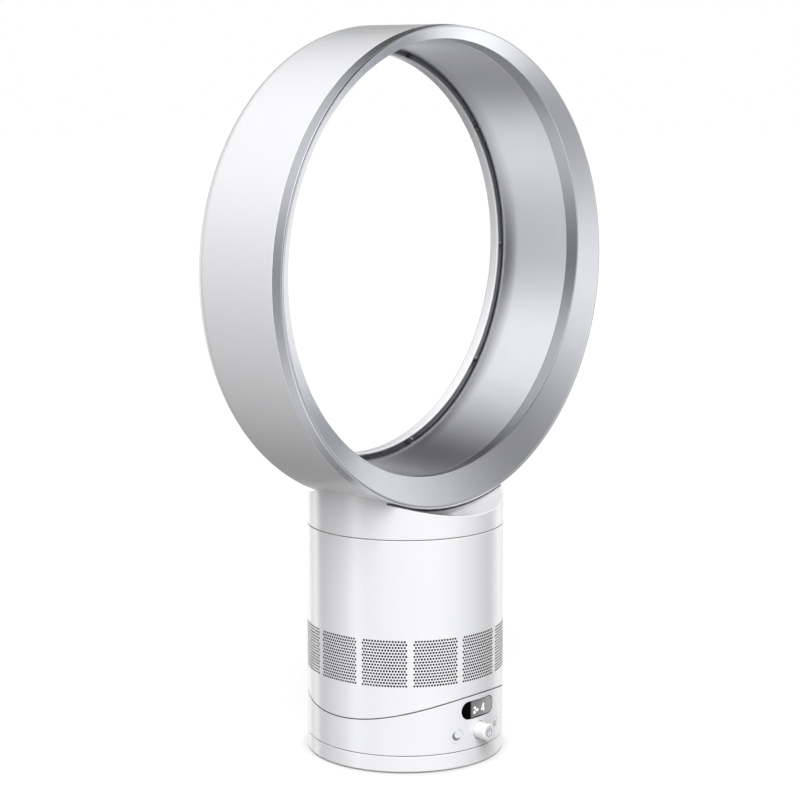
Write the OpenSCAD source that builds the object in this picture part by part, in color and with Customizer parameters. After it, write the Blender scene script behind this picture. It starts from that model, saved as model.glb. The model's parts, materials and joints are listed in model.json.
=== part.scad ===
// Bladeless desk fan: a tilting, swinging base with an air loop on top.
// Millimetres, +Z up, the air blows towards -Y, origin on the floor below the base's axis.

/* [Body] */
// Diameter of the foot, the casings and the neck
body_d = 149; // [147:1:153]
// Wall of the moulded casings
body_wall = 2.4; // [2:0.1:2.8]
// Height of the seam between the main casing and the air loop
body_top = 175.2; // [174:0.2:178]
// Gap shown at the seams between casings
seam_gap = 0.5; // [0.4:0.1:0.7]

/* [Foot] */
// Height of the seam above the foot
foot_seam = 13.1; // [12.8:0.1:14]
// Thickness of the non-slip mat
mat_t = 1.5; // [1.2:0.1:1.8]
// Thickness of the plate under the foot
base_plate_t = 2; // [1.8:0.1:2.2]
// Thickness of the foot's deck
deck_t = 2.2; // [1.8:0.1:2.6]
// Radius of the gear well
well_r = 46; // [45.5:0.5:48]

/* [Swing] */
// Teeth of the ring gear in the foot
ring_teeth = 80; // [78:1:81]
// Teeth of the pinion on the swing motor
pinion_teeth = 12; // [11:1:13]
// Tooth module of the swing gears
gear_module = 1; // [0.98:0.01:1.02]
// Face width of the swing gears
gear_t = 3.6; // [3:0.1:4]
// Outer radius of the pivot sleeve
sleeve_r = 12; // [11:0.5:12.5]
// Bore radius of the pivot sleeve, which the wires pass through
sleeve_bore_r = 7; // [6:0.5:8]
// Diameter of the swing motor
swing_motor_d = 36; // [34:1:38]
// Height of the swing motor
swing_motor_h = 14; // [12:0.5:14.5]

/* [Tilt] */
// Radius of the curved seam about the tilt axis
tilt_r = 181.4; // [178:0.2:186]
// Height of the curved seam at the sides
tilt_low = 38.1; // [37:0.1:40]
// Tilt each way
tilt_range = 10; // [6:1:10]
// Thickness of the concave cradle
cradle_t = 3; // [2.6:0.1:3.4]
// Thickness of the convex slider
slider_t = 4; // [3.6:0.1:4.4]
// Distance of each tilt rail from the middle
rail_x = 30; // [29:0.5:31]
// Width of a rail's stem
rail_w = 6; // [5:0.5:7]
// Width of a rail's cap
rail_cap_w = 14; // [12:0.5:14]
// Thickness of a rail's cap
rail_cap_t = 3; // [2.6:0.1:3.4]
// Half of a rail's angle about the tilt axis
rail_half = 4.5; // [4:0.1:5]

/* [Controls] */
// Width of the display window
window_w = 35.6; // [33:0.2:38]
// Height of the display window
window_h = 13.6; // [12.6:0.2:14]
// Height of the display's middle
window_z = 43; // [42.6:0.1:43.4]
// Height of the knob
knob_z = 26; // [25.6:0.1:26.4]
// Height of the flush buttons
button_z = 25.2; // [24.8:0.1:25.6]
// Diameter of the knob
knob_d = 13; // [12:0.2:14]
// How far the knob stands out
knob_reach = 10; // [8:0.5:12]
// Travel of the knob when pressed
knob_travel = 1; // [0.6:0.1:1.2]
// Diameter of the flush buttons
button_d = 11; // [10:0.2:11.6]
// Distance of the flush buttons from the middle
button_x = 22; // [21.5:0.1:22.5]
// Travel of the flush buttons
button_travel = 0.5; // [0.3:0.1:0.5]

/* [Grille] */
// Panels of holes around the casing
grille_panels = 12; // [10:1:12]
// Height of the grille's lower edge
grille_low = 66; // [65.6:0.2:67]
// Rows of holes in a panel
grille_rows = 6; // [5:1:6]
// Holes in a full row
grille_cols = 6; // [5:1:6]
// Spacing of the holes
grille_pitch = 6.2; // [5.8:0.1:6.3]
// Diameter of a hole
grille_hole_d = 3; // [2.4:0.1:3.4]

/* [Air path] */
// Radius of the impeller housing's mouth
inlet_r = 38; // [37:0.5:39]
// Radius of the impeller housing's upper part
housing_r = 60; // [59:0.5:61]
// Wall of the impeller housing
housing_wall = 2; // [1.8:0.1:2.4]
// Height of the impeller housing's mouth
inlet_z = 108; // [107:0.5:109]
// Height of the impeller
impeller_h = 30; // [28:0.5:31]
// Radius of the impeller's blade tips at the top
impeller_r = 51; // [50:0.5:52]
// Blades of the impeller
impeller_blades = 9; // [7:1:11]
// Vanes of the diffuser
diffuser_vanes = 11; // [9:1:13]
// Outer radius of the motor bucket
bucket_r = 31; // [30.5:0.5:31.5]
// Radius of the motor shaft
shaft_r = 2.5; // [2:0.1:3]
// Slots of the stator
stator_slots = 9; // [6:1:9]

/* [Air loop] */
// Outer diameter of the loop
loop_d = 354.4; // [350:0.4:358]
// Height of the loop's lowest point
loop_low = 190.8; // [189:0.2:193]
// Wall of the loop's mouldings
loop_wall = 2.2; // [2:0.1:2.4]
// Distance of the white shell's front edge before the base's axis
shell_front = 39.3; // [38:0.1:40]
// Distance of the loop's back behind the base's axis
shell_back = 46.9; // [46:0.1:48]
// Rounding of the outer back edge
back_round = 12.7; // [11:0.1:13.5]
// Slope of the back surface towards the lip
back_slope = 25; // [20:1:28]
// Rise of the inner ring's axis above the outer one
inner_rise = 6.5; // [5.5:0.1:7]
// Mean width of the ring, from its outer edge to the lip around the opening
ring_w = 25.9; // [24:0.1:28]
// Wall of the lip
lip_wall = 2.1; // [1.8:0.1:2.2]
// Length of the lip
lip_l = 10.4; // [9:0.1:11]
// Depth of the silver bezel's outer band
bezel_band = 9.7; // [9:0.1:11]
// Width of the slot that the air leaves by
slot_gap = 1.2; // [1:0.1:2]
// Mean depth of the bezel's sloping face
face_depth = 10.9; // [10:0.1:12]
// Lean of the face's inner edge, whose top stands further forward
face_lean = 1.1; // [0.8:0.1:1.4]
// Distance of the inner wall's front edge behind the white shell's
inner_set = 12.3; // [11:0.1:13.5]
// How far the inner wall draws in from its front to its back
guide_draw = 5.7; // [4.5:0.1:6.5]
// Rounding of the inner wall's back edge, over which the air turns
guide_round = 5; // [4.5:0.1:5.2]
// Distance from that rounding to the loop's back
guide_set = 8.9; // [8:0.1:9.8]
// Spacers that hold the slot open
spacer_count = 10; // [8:1:12]

/* [Fits] */
// Gap between pieces that move past each other
run_gap = 0.4; // [0.3:0.05:0.5]
// Gap between pieces set into each other
set_gap = 0.1; // [0.1:0.02:0.16]
// Radial gap of a shaft in its bearing
shaft_gap = 0.05; // [0.02:0.01:0.09]

/* [Hidden] */

// Overrun of cuts and the roundness of circles
over = 1;
round_fn = 180;
small_fn = 48;
bit_fn = 24;
arc_steps = 10;

// Casings
body_r = body_d / 2;
inner_r = body_r - body_wall;
plate_r = inner_r - set_gap;
half_gap = seam_gap / 2;

// Foot
foot_lift = 1;
foot_edge = 0.6;
deck_top = foot_seam - half_gap;
deck_low = deck_top - deck_t;
plate_top = mat_t + base_plate_t;
well_floor_t = 1.5;
well_z = plate_top + well_floor_t;
well_wall = 2;
mat_inset = 2;
foot_post_r = 4;
foot_post_at = 58;
foot_posts = 4;
post_turn = 45;
glide_in = 56;
glide_w = 6;
glide_depth = 0.8;
glide_lift = 0.45;

// Screws: head radius and height, shank radius and bite
screw_head_r = 2.6;
screw_head_h = 1.2;
screw_r = 1.4;
screw_bite = 6;
fine_head_r = 1.9;
fine_head_h = 1;
fine_r = 0.9;
fine_bite = 3.4;
drive_fn = 6;
drive_share = 0.5;
drive_depth_share = 0.6;

// Swing
floor_z = foot_seam + half_gap;
floor_t = 2.5;
floor_top = floor_z + floor_t;
sleeve_foot_w = 8;
sleeve_foot_t = 2;
sleeve_top = floor_top + set_gap;
swing_clear = 0.6;
pivot_cap_t = 2;
pivot_screw_at = (sleeve_r + sleeve_bore_r) / 2;
sleeve_screw_at = sleeve_r + sleeve_foot_w / 2;
pivot_screws_n = 3;
pinion_at = gear_module * (ring_teeth - pinion_teeth) / 2;
pivot_cap_r = pinion_at - swing_motor_d / 2 - swing_clear;
gear_z = well_z + run_gap;
gear_angle = 25;
gear_play = 1.2;
ring_play = 0.15;
tip_share = 0.7;
root_share = 1.1;
flank_steps = 4;
motor_shaft_r = 2;
motor_bore_h = 8;
motor_ear_r = 4;
motor_ear_t = 2;
motor_ear_x = swing_motor_d / 2 + motor_ear_r;
motor_hole_r = 5;
floor_post_r = 4;
floor_post_x = 46;
floor_post_y = 32;

// Tilt
tilt_z = tilt_low + tilt_r;
cradle_r = tilt_r + half_gap;
slider_r = tilt_r - half_gap;
slider_top_r = slider_r - slider_t;
cap_r = slider_top_r - run_gap;
cap_top_r = cap_r - rail_cap_t;
slot_play = 0.8;
slot_half = rail_half + tilt_range + slot_play;
rail_screw_half = rail_half / 2;

// Power socket at the back of the foot
socket_w = 9;
socket_h = 6.4;
socket_l = 12;
socket_nose_r = 4;
socket_bore_r = 3;
socket_bore_l = 9;
socket_pin_r = 1;
socket_pin_short = 1.5;
socket_z = plate_top + socket_h / 2;
socket_inset = 0.8;

// Control board and what it carries
board_front = 61.6;
board_t = 1.6;
board_w = 69;
board_lift = 0.2;
board_low = floor_top + board_lift;
board_h = 26.8;
post_r = 2.2;
low_post_x = 31.5;
low_post_z = 18.6;
high_post_x = 27;
high_post_z = 39.4;
module_w = 30;
module_h = 7.4;
module_front = 69.9;
module_gap = 0.5;
module_top = tilt_z - sqrt(pow(cradle_r + cradle_t, 2) - pow(board_front, 2)) - module_gap;
module_z = module_top - module_h / 2;
window_t = 1.8;
encoder_w = 12;
encoder_t = 5;
rod_r = 2;
rod_end = board_front + knob_travel + run_gap;
disc_r = 7.4;
disc_t = 1.2;
disc_front = 70.6;
spigot_r = 3;
spigot_l = 9.4;
knob_round = 1.2;
knob_dish_r = 22;
knob_dish = 0.4;
knob_back = disc_front + run_gap;
flange_over = 1.1;
flange_t = 1;
switch_w = 6;
switch_t = 2;
plunger_r = 1.5;
plunger_t = 0.6;
flange_front = board_front + switch_t + plunger_t + button_travel + set_gap + flange_t;

// Main body
casing_posts = 4;
casing_post_r = 4;
casing_post_in = 6;
casing_post_at = body_r - casing_post_in;
baffle_z = 62.5;
baffle_t = 2;
baffle_hole_r = 10;
baffle_neck_h = 8;
foam_in = 20;
foam_out = 62;
foam_t = 6;
main_board_w = 40;
main_board_l = 76;
main_board_z = 54;
standoff_r = 2.5;
standoff_in = 4;
ledge_w = 6;
ledge_t = 2.5;
ledge_z = 163;
seal_t = 2;
flange_w = 11.4;
flange_r = housing_r + flange_w;
seat_z = ledge_z + ledge_t + seal_t;
mouth_gap = 2;
flare_h = 14;
flare_z = inlet_z + impeller_h + mouth_gap;
straight_z = flare_z + flare_h;
cowl_r = 5;
cowl_brim = 6;
cowl_t = 2;
tip_gap = 0.9;
hub_low_r = 13;
hub_top_r = 32;
hub_boss_r = 6;
hub_wall = 2.4;
hub_nose = 7;
impeller_z = inlet_z + mouth_gap;
blade_t = 1.6;
blade_bend_r = 46;
bucket_wall = 1.8;
bucket_gap = 2.5;
bucket_z = impeller_z + impeller_h + bucket_gap;
bucket_h = 35;
bucket_split = 16;
vane_gap = 0.5;
vane_z = straight_z + vane_gap;
vane_h = 14.4;
vane_hub_t = 1.8;
vane_t = 1.5;
vane_bend_r = 60;
strip_turn = 60;
bearing_r = 7;
bearing_t = 4.5;
bearing_wall = 2;
seat_lip = 0.8;
bucket_round = 5.4;
bearing_low = bucket_z + seat_lip;
bearing_high = bucket_z + bucket_h - bucket_wall - seat_lip;
stator_r = bucket_r - bucket_wall - set_gap;
stator_bore_r = 9;
stator_h = 17;
stator_gap = 1;
stator_z = bearing_low + bearing_t + stator_gap;
slot_r = 3;
slot_at = 17;
winding_in = 11.5;
winding_out = 25;
winding_h = 2.2;
rotor_gap = 0.5;
rotor_r = stator_bore_r - rotor_gap;
snug_gap = 0.02;

// Neck and its twist lock
bayonet_in = 68.5;
lug_in = 66.9;
lug_angle = 30;
lugs = 3;
lug_t = 1.8;
collar_in = 64.6;
collar_out = 66.6;
collar_lug_r = 68.2;
lug_gap = 0.2;
seal_in = 68.8;
web_t = 2;
bayonet_top = body_top - half_gap;
collar_low = bayonet_top - 2 * lug_t - lug_gap;
neck_low = body_top + half_gap;
neck_foam_w = 10;
neck_foam_h = 8;
neck_rise = 24;
neck_top = loop_low + neck_rise;

// Loop
loop_r = loop_d / 2;
loop_z = loop_low + loop_r;
inner_z = loop_z + inner_rise;
lip_r = loop_r - ring_w;
lip_front = shell_back - lip_l;
lip_land = 3.6;
flat_r = lip_r + lip_land;
guide_r = lip_r + lip_wall + slot_gap;
guide_back = shell_back - guide_set - guide_round;
band_r = guide_r + guide_draw;
inner_front = shell_front - inner_set;
round_turn = 90 - back_slope;
round_at = loop_r - back_round;
round_y = shell_back - (round_at + back_round * cos(round_turn) - flat_r) * tan(back_slope)
    - back_round * sin(round_turn);
lip_round = 3;
bezel_taper = 1.1;
bezel_edge = 1;
shelf_gap = 1;
bezel_front = shell_front + bezel_band;
bezel_r = loop_r - bezel_taper - bezel_edge;
shelf_r = loop_r + shelf_gap;
roof_r = shelf_r + loop_wall;
rim_r = loop_r - loop_wall - set_gap;
rim_t = 1.5;
rim_l = 6.3;
face_wall = 2.6;
face_back_shares = [0.25, 0.85];
hoop_n = 120;
edge_steps = 3;
band_out = band_r + loop_wall;
tongue_t = 1.5;
tongue_l = 4;
guide_lean = atan((band_r - guide_r) / (inner_front + guide_back));
nose_r = guide_r + guide_round;
port_step = 3;
port_front = shell_front - port_step;
port_back = round_y;
spacer_angle = 0.9;
spacer_turn = 60;

// Profile helpers

// Points of an arc about a centre, from one angle to another
function arc(x, y, r, a, b, n = arc_steps) =
    [for (i = [0 : n]) let (t = a + (b - a) * i / n) [x + r * cos(t), y + r * sin(t)]];

// A turned solid about the vertical axis, from points of radius and height
module turned(points, fn = round_fn) rotate_extrude($fn = fn) polygon(points);

// A turned solid about a level axis that runs from front to back at height z
module turned_level(z, points) translate([0, 0, z]) rotate([-90, 0, 0]) turned(points);

// A solid cylinder about that axis, between two depths
module level_drum(z, r, front, back)
    turned_level(z, [[0, front], [r, front], [r, back], [0, back]]);

// A ring about the vertical axis
module ring(outer, inner, low, high) turned([[inner, low], [outer, low], [outer, high], [inner, high]]);

// A round bar towards the back, from y = -front to y = -back
module bar_y(x, z, r, front, back, fn = small_fn)
    translate([x, -front, z]) rotate([-90, 0, 0]) cylinder(r = r, h = front - back, $fn = fn);

// The solid cylinder about the tilt axis
module tilt_drum(r)
    translate([0, 0, tilt_z]) rotate([0, 90, 0])
        cylinder(r = r, h = body_d + 2 * over, center = true, $fn = round_fn);

// A curved bar about the tilt axis, under it, at x
module tilt_bar(r_high, r_low, w, half, x)
    translate([x, 0, tilt_z]) rotate([0, 90, 0]) rotate([0, 0, -half])
        rotate_extrude(angle = 2 * half, $fn = round_fn)
            translate([r_high, -w / 2]) square([r_low - r_high, w]);

// Places children at a height above the floor, standing on end, on the four corners x, y
module at_corners(x, y) for (i = [-1, 1]) for (j = [-1, 1]) translate([i * x, j * y, 0]) children();

// Places children n times around the vertical axis
module around(n, start = 0) for (i = [0 : n - 1]) rotate([0, 0, start + i * 360 / n]) children();

// A pan-head screw whose head sits on z = 0 and whose shank runs down
module screw(head_r, head_h, shank_r, bite) {
    difference() {
        cylinder(r = head_r, h = head_h, $fn = bit_fn);
        translate([0, 0, head_h * (1 - drive_depth_share)])
            cylinder(r = head_r * drive_share, h = head_h, $fn = drive_fn);
    }
    translate([0, 0, -bite]) cylinder(r = shank_r, h = bite, $fn = bit_fn);
}

module body_screw() screw(screw_head_r, screw_head_h, screw_r, screw_bite);
module fine_screw() screw(fine_head_r, fine_head_h, fine_r, fine_bite);

// Gear outlines

// Involute function, in degrees
function inv(a) = tan(a) * 180 / PI - a;

// Half angle of a tooth at radius r; play thins it, in degrees
function half_tooth(r, n, rb, play) =
    90 / n - play / 2 + inv(gear_angle) - inv(acos(min(1, rb / max(r, rb))));

// Outline of n teeth from a root to a tip radius
module teeth(n, root, tip, play) {
    rb = gear_module * n / 2 * cos(gear_angle);
    steps = [for (i = [0 : flank_steps]) root + (tip - root) * i / flank_steps];
    polygon([
        for (k = [0 : n - 1]) for (s = [-1, 1]) for (i = [0 : flank_steps])
            let (
                r = steps[s < 0 ? i : flank_steps - i],
                t = k * 360 / n + s * half_tooth(r, n, rb, play)
            )
            [r * cos(t), r * sin(t)]
    ]);
}

// Foot

module foot_posts_at() around(foot_posts, post_turn) translate([foot_post_at, 0, 0]) children();

module foot_shell() color("white") difference() {
    union() {
        turned([
            [sleeve_bore_r, plate_top], [well_r + well_wall, plate_top], [well_r + well_wall, deck_low],
            [inner_r, deck_low], [inner_r, foot_lift], [body_r - foot_edge, foot_lift],
            [body_r, foot_lift + foot_edge], [body_r, deck_top],
            [glide_in + glide_w, deck_top], [glide_in + glide_w, deck_top - glide_depth],
            [glide_in, deck_top - glide_depth], [glide_in, deck_top],
            [well_r, deck_top], [well_r, well_z], [sleeve_bore_r, well_z]
        ]);
        foot_posts_at() translate([0, 0, plate_top])
            cylinder(r = foot_post_r, h = deck_low - plate_top + over, $fn = small_fn);
    }
    foot_posts_at() translate([0, 0, plate_top - over])
        cylinder(r = screw_r, h = screw_bite + over, $fn = bit_fn);
    bar_y(0, socket_z, socket_nose_r + set_gap, -inner_r + over, -body_r - over);
    around(pivot_screws_n) translate([sleeve_screw_at, 0, plate_top - over])
        cylinder(r = fine_r, h = well_floor_t + 2 * over, $fn = bit_fn);
}

module foot_base_plate() color("whitesmoke") difference() {
    translate([0, 0, mat_t]) cylinder(r = plate_r, h = base_plate_t, $fn = round_fn);
    foot_posts_at() translate([0, 0, mat_t - over]) {
        cylinder(r = screw_head_r + set_gap, h = over + screw_head_h, $fn = bit_fn);
        cylinder(r = screw_r + set_gap, h = base_plate_t + 2 * over, $fn = bit_fn);
    }
}

module non_slip_mat() color("dimgray") cylinder(r = plate_r - mat_inset, h = mat_t, $fn = round_fn);

module foot_screws() color("silver")
    foot_posts_at() translate([0, 0, mat_t + screw_head_h]) mirror([0, 0, 1]) body_screw();

module pivot_sleeve() color("gainsboro") difference() {
    turned([
        [sleeve_bore_r, well_z], [sleeve_r + sleeve_foot_w, well_z],
        [sleeve_r + sleeve_foot_w, well_z + sleeve_foot_t],
        [sleeve_r, well_z + sleeve_foot_t], [sleeve_r, sleeve_top], [sleeve_bore_r, sleeve_top]
    ]);
    around(pivot_screws_n) translate([pivot_screw_at, 0, sleeve_top - screw_bite])
        cylinder(r = fine_r, h = screw_bite + over, $fn = bit_fn);
    around(pivot_screws_n) translate([sleeve_screw_at, 0, well_z - over])
        cylinder(r = fine_r + set_gap, h = sleeve_foot_t + 2 * over, $fn = bit_fn);
}

module pivot_cap() color("gainsboro") difference() {
    ring(pivot_cap_r, sleeve_bore_r, sleeve_top, sleeve_top + pivot_cap_t);
    around(pivot_screws_n) translate([pivot_screw_at, 0, sleeve_top - over])
        cylinder(r = fine_r + set_gap, h = pivot_cap_t + 2 * over, $fn = bit_fn);
}

module pivot_screws() color("silver") around(pivot_screws_n) {
    translate([pivot_screw_at, 0, sleeve_top + pivot_cap_t])
        screw(fine_head_r, fine_head_h, fine_r, pivot_cap_t + fine_bite);
    translate([sleeve_screw_at, 0, well_z + sleeve_foot_t])
        screw(fine_head_r, fine_head_h, fine_r, sleeve_foot_t + well_floor_t);
}

module glide_ring() color("lightgray")
    ring(glide_in + glide_w, glide_in, deck_top - glide_depth, deck_top + glide_lift);

module ring_gear() color("gainsboro") difference() {
    translate([0, 0, well_z]) cylinder(r = well_r, h = gear_t + run_gap, $fn = round_fn);
    translate([0, 0, well_z - over]) linear_extrude(gear_t + run_gap + 2 * over)
        teeth(ring_teeth, gear_module * (ring_teeth / 2 - tip_share),
            gear_module * (ring_teeth / 2 + root_share), -ring_play);
}

module power_socket() color("black") difference() {
    union() {
        translate([-socket_w / 2, inner_r - socket_l - set_gap, socket_z - socket_h / 2])
            cube([socket_w, socket_l, socket_h]);
        bar_y(0, socket_z, socket_nose_r, -plate_r, -body_r + socket_inset);
    }
    difference() {
        bar_y(0, socket_z, socket_bore_r, -body_r + socket_inset + socket_bore_l, -body_r - over);
        bar_y(0, socket_z, socket_pin_r, -inner_r + socket_l, -body_r + socket_inset + socket_pin_short);
    }
}

// Lower body, which swings on the foot

module board_posts() for (s = [-1, 1]) {
    translate([s * low_post_x, 0, low_post_z]) children();
    translate([s * high_post_x, 0, high_post_z]) children();
}

// Stadium outline, standing towards the back
module pill(w, h, front, back) {
    for (s = [-1, 1]) bar_y(s * (w - h) / 2, window_z, h / 2, front, back);
    translate([-(w - h) / 2, -front, window_z - h / 2]) cube([w - h, front - back, h]);
}

module control_casing() color("white") difference() {
    union() {
        ring(body_r, inner_r, floor_z, grille_low);
        intersection() {
            board_posts() bar_y(0, 0, post_r, body_r, board_front, bit_fn);
            cylinder(r = inner_r + body_wall / 2, h = tilt_low, $fn = round_fn);
        }
    }
    tilt_drum(cradle_r);
    pill(window_w + 2 * set_gap, window_h + 2 * set_gap, body_r + over, board_front + post_r);
    bar_y(0, knob_z, knob_d / 2 + run_gap, body_r + over, board_front + post_r);
    for (s = [-1, 1])
        bar_y(s * button_x, button_z, button_d / 2 + set_gap, body_r + over, board_front + over);
    board_posts() bar_y(0, 0, fine_r, board_front + fine_bite, board_front - over, bit_fn);
}

module floor_posts_at() at_corners(floor_post_x, floor_post_y) children();
module motor_ears_at() for (s = [-1, 1]) translate([s * motor_ear_x, pinion_at, 0]) children();

module swivel_floor() color("whitesmoke") difference() {
    translate([0, 0, floor_z]) cylinder(r = plate_r, h = floor_t, $fn = round_fn);
    translate([0, 0, floor_z - over]) {
        cylinder(r = sleeve_r + shaft_gap, h = floor_t + 2 * over, $fn = round_fn);
        translate([0, pinion_at, 0]) cylinder(r = motor_hole_r, h = floor_t + 2 * over, $fn = small_fn);
        floor_posts_at() {
            cylinder(r = screw_head_r + set_gap, h = over + screw_head_h, $fn = bit_fn);
            cylinder(r = screw_r + set_gap, h = floor_t + 2 * over, $fn = bit_fn);
        }
        motor_ears_at() cylinder(r = fine_r, h = floor_t + 2 * over, $fn = bit_fn);
    }
}

module floor_screws() color("silver")
    floor_posts_at() translate([0, 0, floor_z + screw_head_h]) mirror([0, 0, 1]) body_screw();

module swing_motor() color("silver") difference() {
    translate([0, pinion_at, floor_top]) {
        cylinder(d = swing_motor_d, h = swing_motor_h, $fn = small_fn);
        translate([-motor_ear_x, -motor_ear_r, 0]) cube([2 * motor_ear_x, 2 * motor_ear_r, motor_ear_t]);
        for (s = [-1, 1]) translate([s * motor_ear_x, 0, 0])
            cylinder(r = motor_ear_r, h = motor_ear_t, $fn = small_fn);
    }
    translate([0, pinion_at, floor_top - over])
        cylinder(r = motor_shaft_r + shaft_gap, h = motor_bore_h + over, $fn = small_fn);
    motor_ears_at() translate([0, 0, floor_top - over])
        cylinder(r = fine_r + set_gap, h = motor_ear_t + 2 * over, $fn = bit_fn);
}

module motor_screws() color("silver")
    motor_ears_at() translate([0, 0, floor_top + motor_ear_t]) fine_screw();

module swing_pinion() color("ivory") translate([0, pinion_at, gear_z]) {
    linear_extrude(gear_t)
        teeth(pinion_teeth, gear_module * (pinion_teeth / 2 - root_share),
            gear_module * (pinion_teeth / 2 + tip_share), gear_play);
    cylinder(r = motor_shaft_r, h = floor_top + motor_bore_h - run_gap - gear_z, $fn = small_fn);
}

// Screw places on the rails: children point down, away from the tilt axis, from radius r
module rail_screws_at(r) for (s = [-1, 1]) for (a = [-1, 1])
    translate([s * rail_x, 0, tilt_z]) rotate([a * rail_screw_half, 0, 0])
        translate([0, 0, -r]) children();

module tilt_cradle() color("whitesmoke") difference() {
    union() {
        intersection() {
            difference() {
                translate([0, 0, floor_top]) cylinder(r = plate_r, h = body_r, $fn = round_fn);
                tilt_drum(cradle_r);
            }
            tilt_drum(cradle_r + cradle_t);
        }
        difference() {
            floor_posts_at() translate([0, 0, floor_top])
                cylinder(r = floor_post_r, h = tilt_low + cradle_t - floor_top, $fn = small_fn);
            tilt_drum(cradle_r + cradle_t / 2);
        }
        for (s = [-1, 1]) tilt_bar(cap_r, cradle_r + cradle_t / 2, rail_w, rail_half, s * rail_x);
    }
    floor_posts_at() translate([0, 0, floor_top - over])
        cylinder(r = screw_r, h = screw_bite + over, $fn = bit_fn);
    rail_screws_at(cap_r + fine_bite) cylinder(r = fine_r, h = fine_bite + over, $fn = bit_fn);
}

module rail_caps() color("gainsboro") difference() {
    for (s = [-1, 1]) tilt_bar(cap_top_r, cap_r, rail_cap_w, rail_half, s * rail_x);
    rail_screws_at(cap_r + over)
        cylinder(r = fine_r + set_gap, h = rail_cap_t + 2 * over, $fn = bit_fn);
    rail_screws_at(cap_top_r + fine_head_h)
        cylinder(r = fine_head_r + set_gap, h = fine_head_h + over, $fn = bit_fn);
}

module rail_screws() color("silver")
    rail_screws_at(cap_top_r + fine_head_h)
        screw(fine_head_r, fine_head_h, fine_r, rail_cap_t - fine_head_h + fine_bite - over);

module control_board() color("seagreen") difference() {
    translate([-board_w / 2, -board_front, board_low]) cube([board_w, board_t, board_h]);
    board_posts() bar_y(0, 0, fine_r + set_gap, board_front + over, board_front - board_t - over, bit_fn);
}

module board_screws() color("silver")
    board_posts() translate([0, board_t - board_front, 0]) rotate([-90, 0, 0])
        screw(fine_head_r, fine_head_h, fine_r, board_t + fine_bite - over / 2);

module display_window() color("black") intersection() {
    ring(body_r - set_gap, body_r - set_gap - window_t, floor_z, body_r);
    pill(window_w, window_h, body_r + over, board_front);
}

module display_module() color("white")
    translate([-module_w / 2, -module_front, module_z - module_h / 2])
        cube([module_w, module_front - board_front, module_h]);

module knob_encoder() color("silver") difference() {
    translate([-encoder_w / 2, -board_front - encoder_t, knob_z - encoder_w / 2])
        cube([encoder_w, encoder_t, encoder_w]);
    bar_y(0, knob_z, rod_r + shaft_gap, board_front + encoder_t + over, board_front + set_gap);
}

module tact_switches() color("dimgray") for (s = [-1, 1]) {
    translate([s * button_x - switch_w / 2, -board_front - switch_t, button_z - switch_w / 2])
        cube([switch_w, switch_t, switch_w]);
    bar_y(s * button_x, button_z, plunger_r,
        board_front + switch_t + plunger_t, board_front + switch_t / 2);
}

module knob_carriage() color("gainsboro") {
    bar_y(0, knob_z, rod_r, disc_front, rod_end);
    bar_y(0, knob_z, disc_r, disc_front, disc_front - disc_t);
    bar_y(0, knob_z, spigot_r, disc_front + spigot_l, disc_front);
}

module control_knob() color("white") difference() {
    translate([0, -body_r - knob_reach, knob_z]) rotate([-90, 0, 0]) turned(concat(
        [[0, 0]],
        arc(knob_d / 2 - knob_round, knob_round, knob_round, -90, 0),
        [[knob_d / 2, body_r + knob_reach - knob_back], [0, body_r + knob_reach - knob_back]]
    ), small_fn);
    translate([0, -body_r - knob_reach - knob_dish_r + knob_dish, knob_z])
        sphere(r = knob_dish_r, $fn = round_fn);
    bar_y(0, knob_z, spigot_r + shaft_gap, disc_front + spigot_l + run_gap, disc_front - over);
}

module flush_button(s) intersection() {
    union() {
        bar_y(s * button_x, button_z, button_d / 2, body_r + over, flange_front - flange_t);
        bar_y(s * button_x, button_z, button_d / 2 + flange_over,
            flange_front, flange_front - flange_t);
    }
    cylinder(r = body_r - set_gap, h = body_top, $fn = round_fn);
}

module sleep_button() color("white") flush_button(-1);
module oscillation_button() color("white") flush_button(1);

// Main body, which tilts on the lower body

module grille_holes() around(grille_panels)
    for (j = [0 : grille_rows - 1]) for (i = [0 : grille_cols - 1 - j % 2])
        rotate([0, 0, (i - (grille_cols - 1 - j % 2) / 2) * grille_pitch / body_r * 180 / PI])
            bar_y(0, grille_low + grille_hole_d / 2 + j * grille_pitch, grille_hole_d / 2,
                body_r + over, inner_r - over, bit_fn);

module casing_posts_at() around(casing_posts, post_turn) translate([casing_post_at, 0, 0]) children();
module standoffs_at() at_corners(main_board_w / 2 - standoff_in, main_board_l / 2 - standoff_in)
    children();

module main_casing() color("white") difference() {
    intersection() {
        union() {
            ring(body_r, inner_r, tilt_low, bayonet_top);
            ring(inner_r + over, inner_r - ledge_w, ledge_z, ledge_z + ledge_t);
            intersection() {
                casing_posts_at() cylinder(r = casing_post_r, h = baffle_z, $fn = small_fn);
                tilt_drum(slider_top_r);
            }
        }
        tilt_drum(slider_r);
        cylinder(r = body_r, h = body_top, $fn = round_fn);
    }
    grille_holes();
    casing_posts_at() cylinder(r = screw_r, h = baffle_z + over, $fn = bit_fn);
}

// Seat of the slider's screws: their heads lie just inside its lower face, 45 degrees round
head_edge_y = casing_post_at * cos(post_turn) + screw_head_r;
slider_seat_z = tilt_z - sqrt(pow(slider_r, 2) - pow(head_edge_y, 2)) + screw_head_h;

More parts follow.
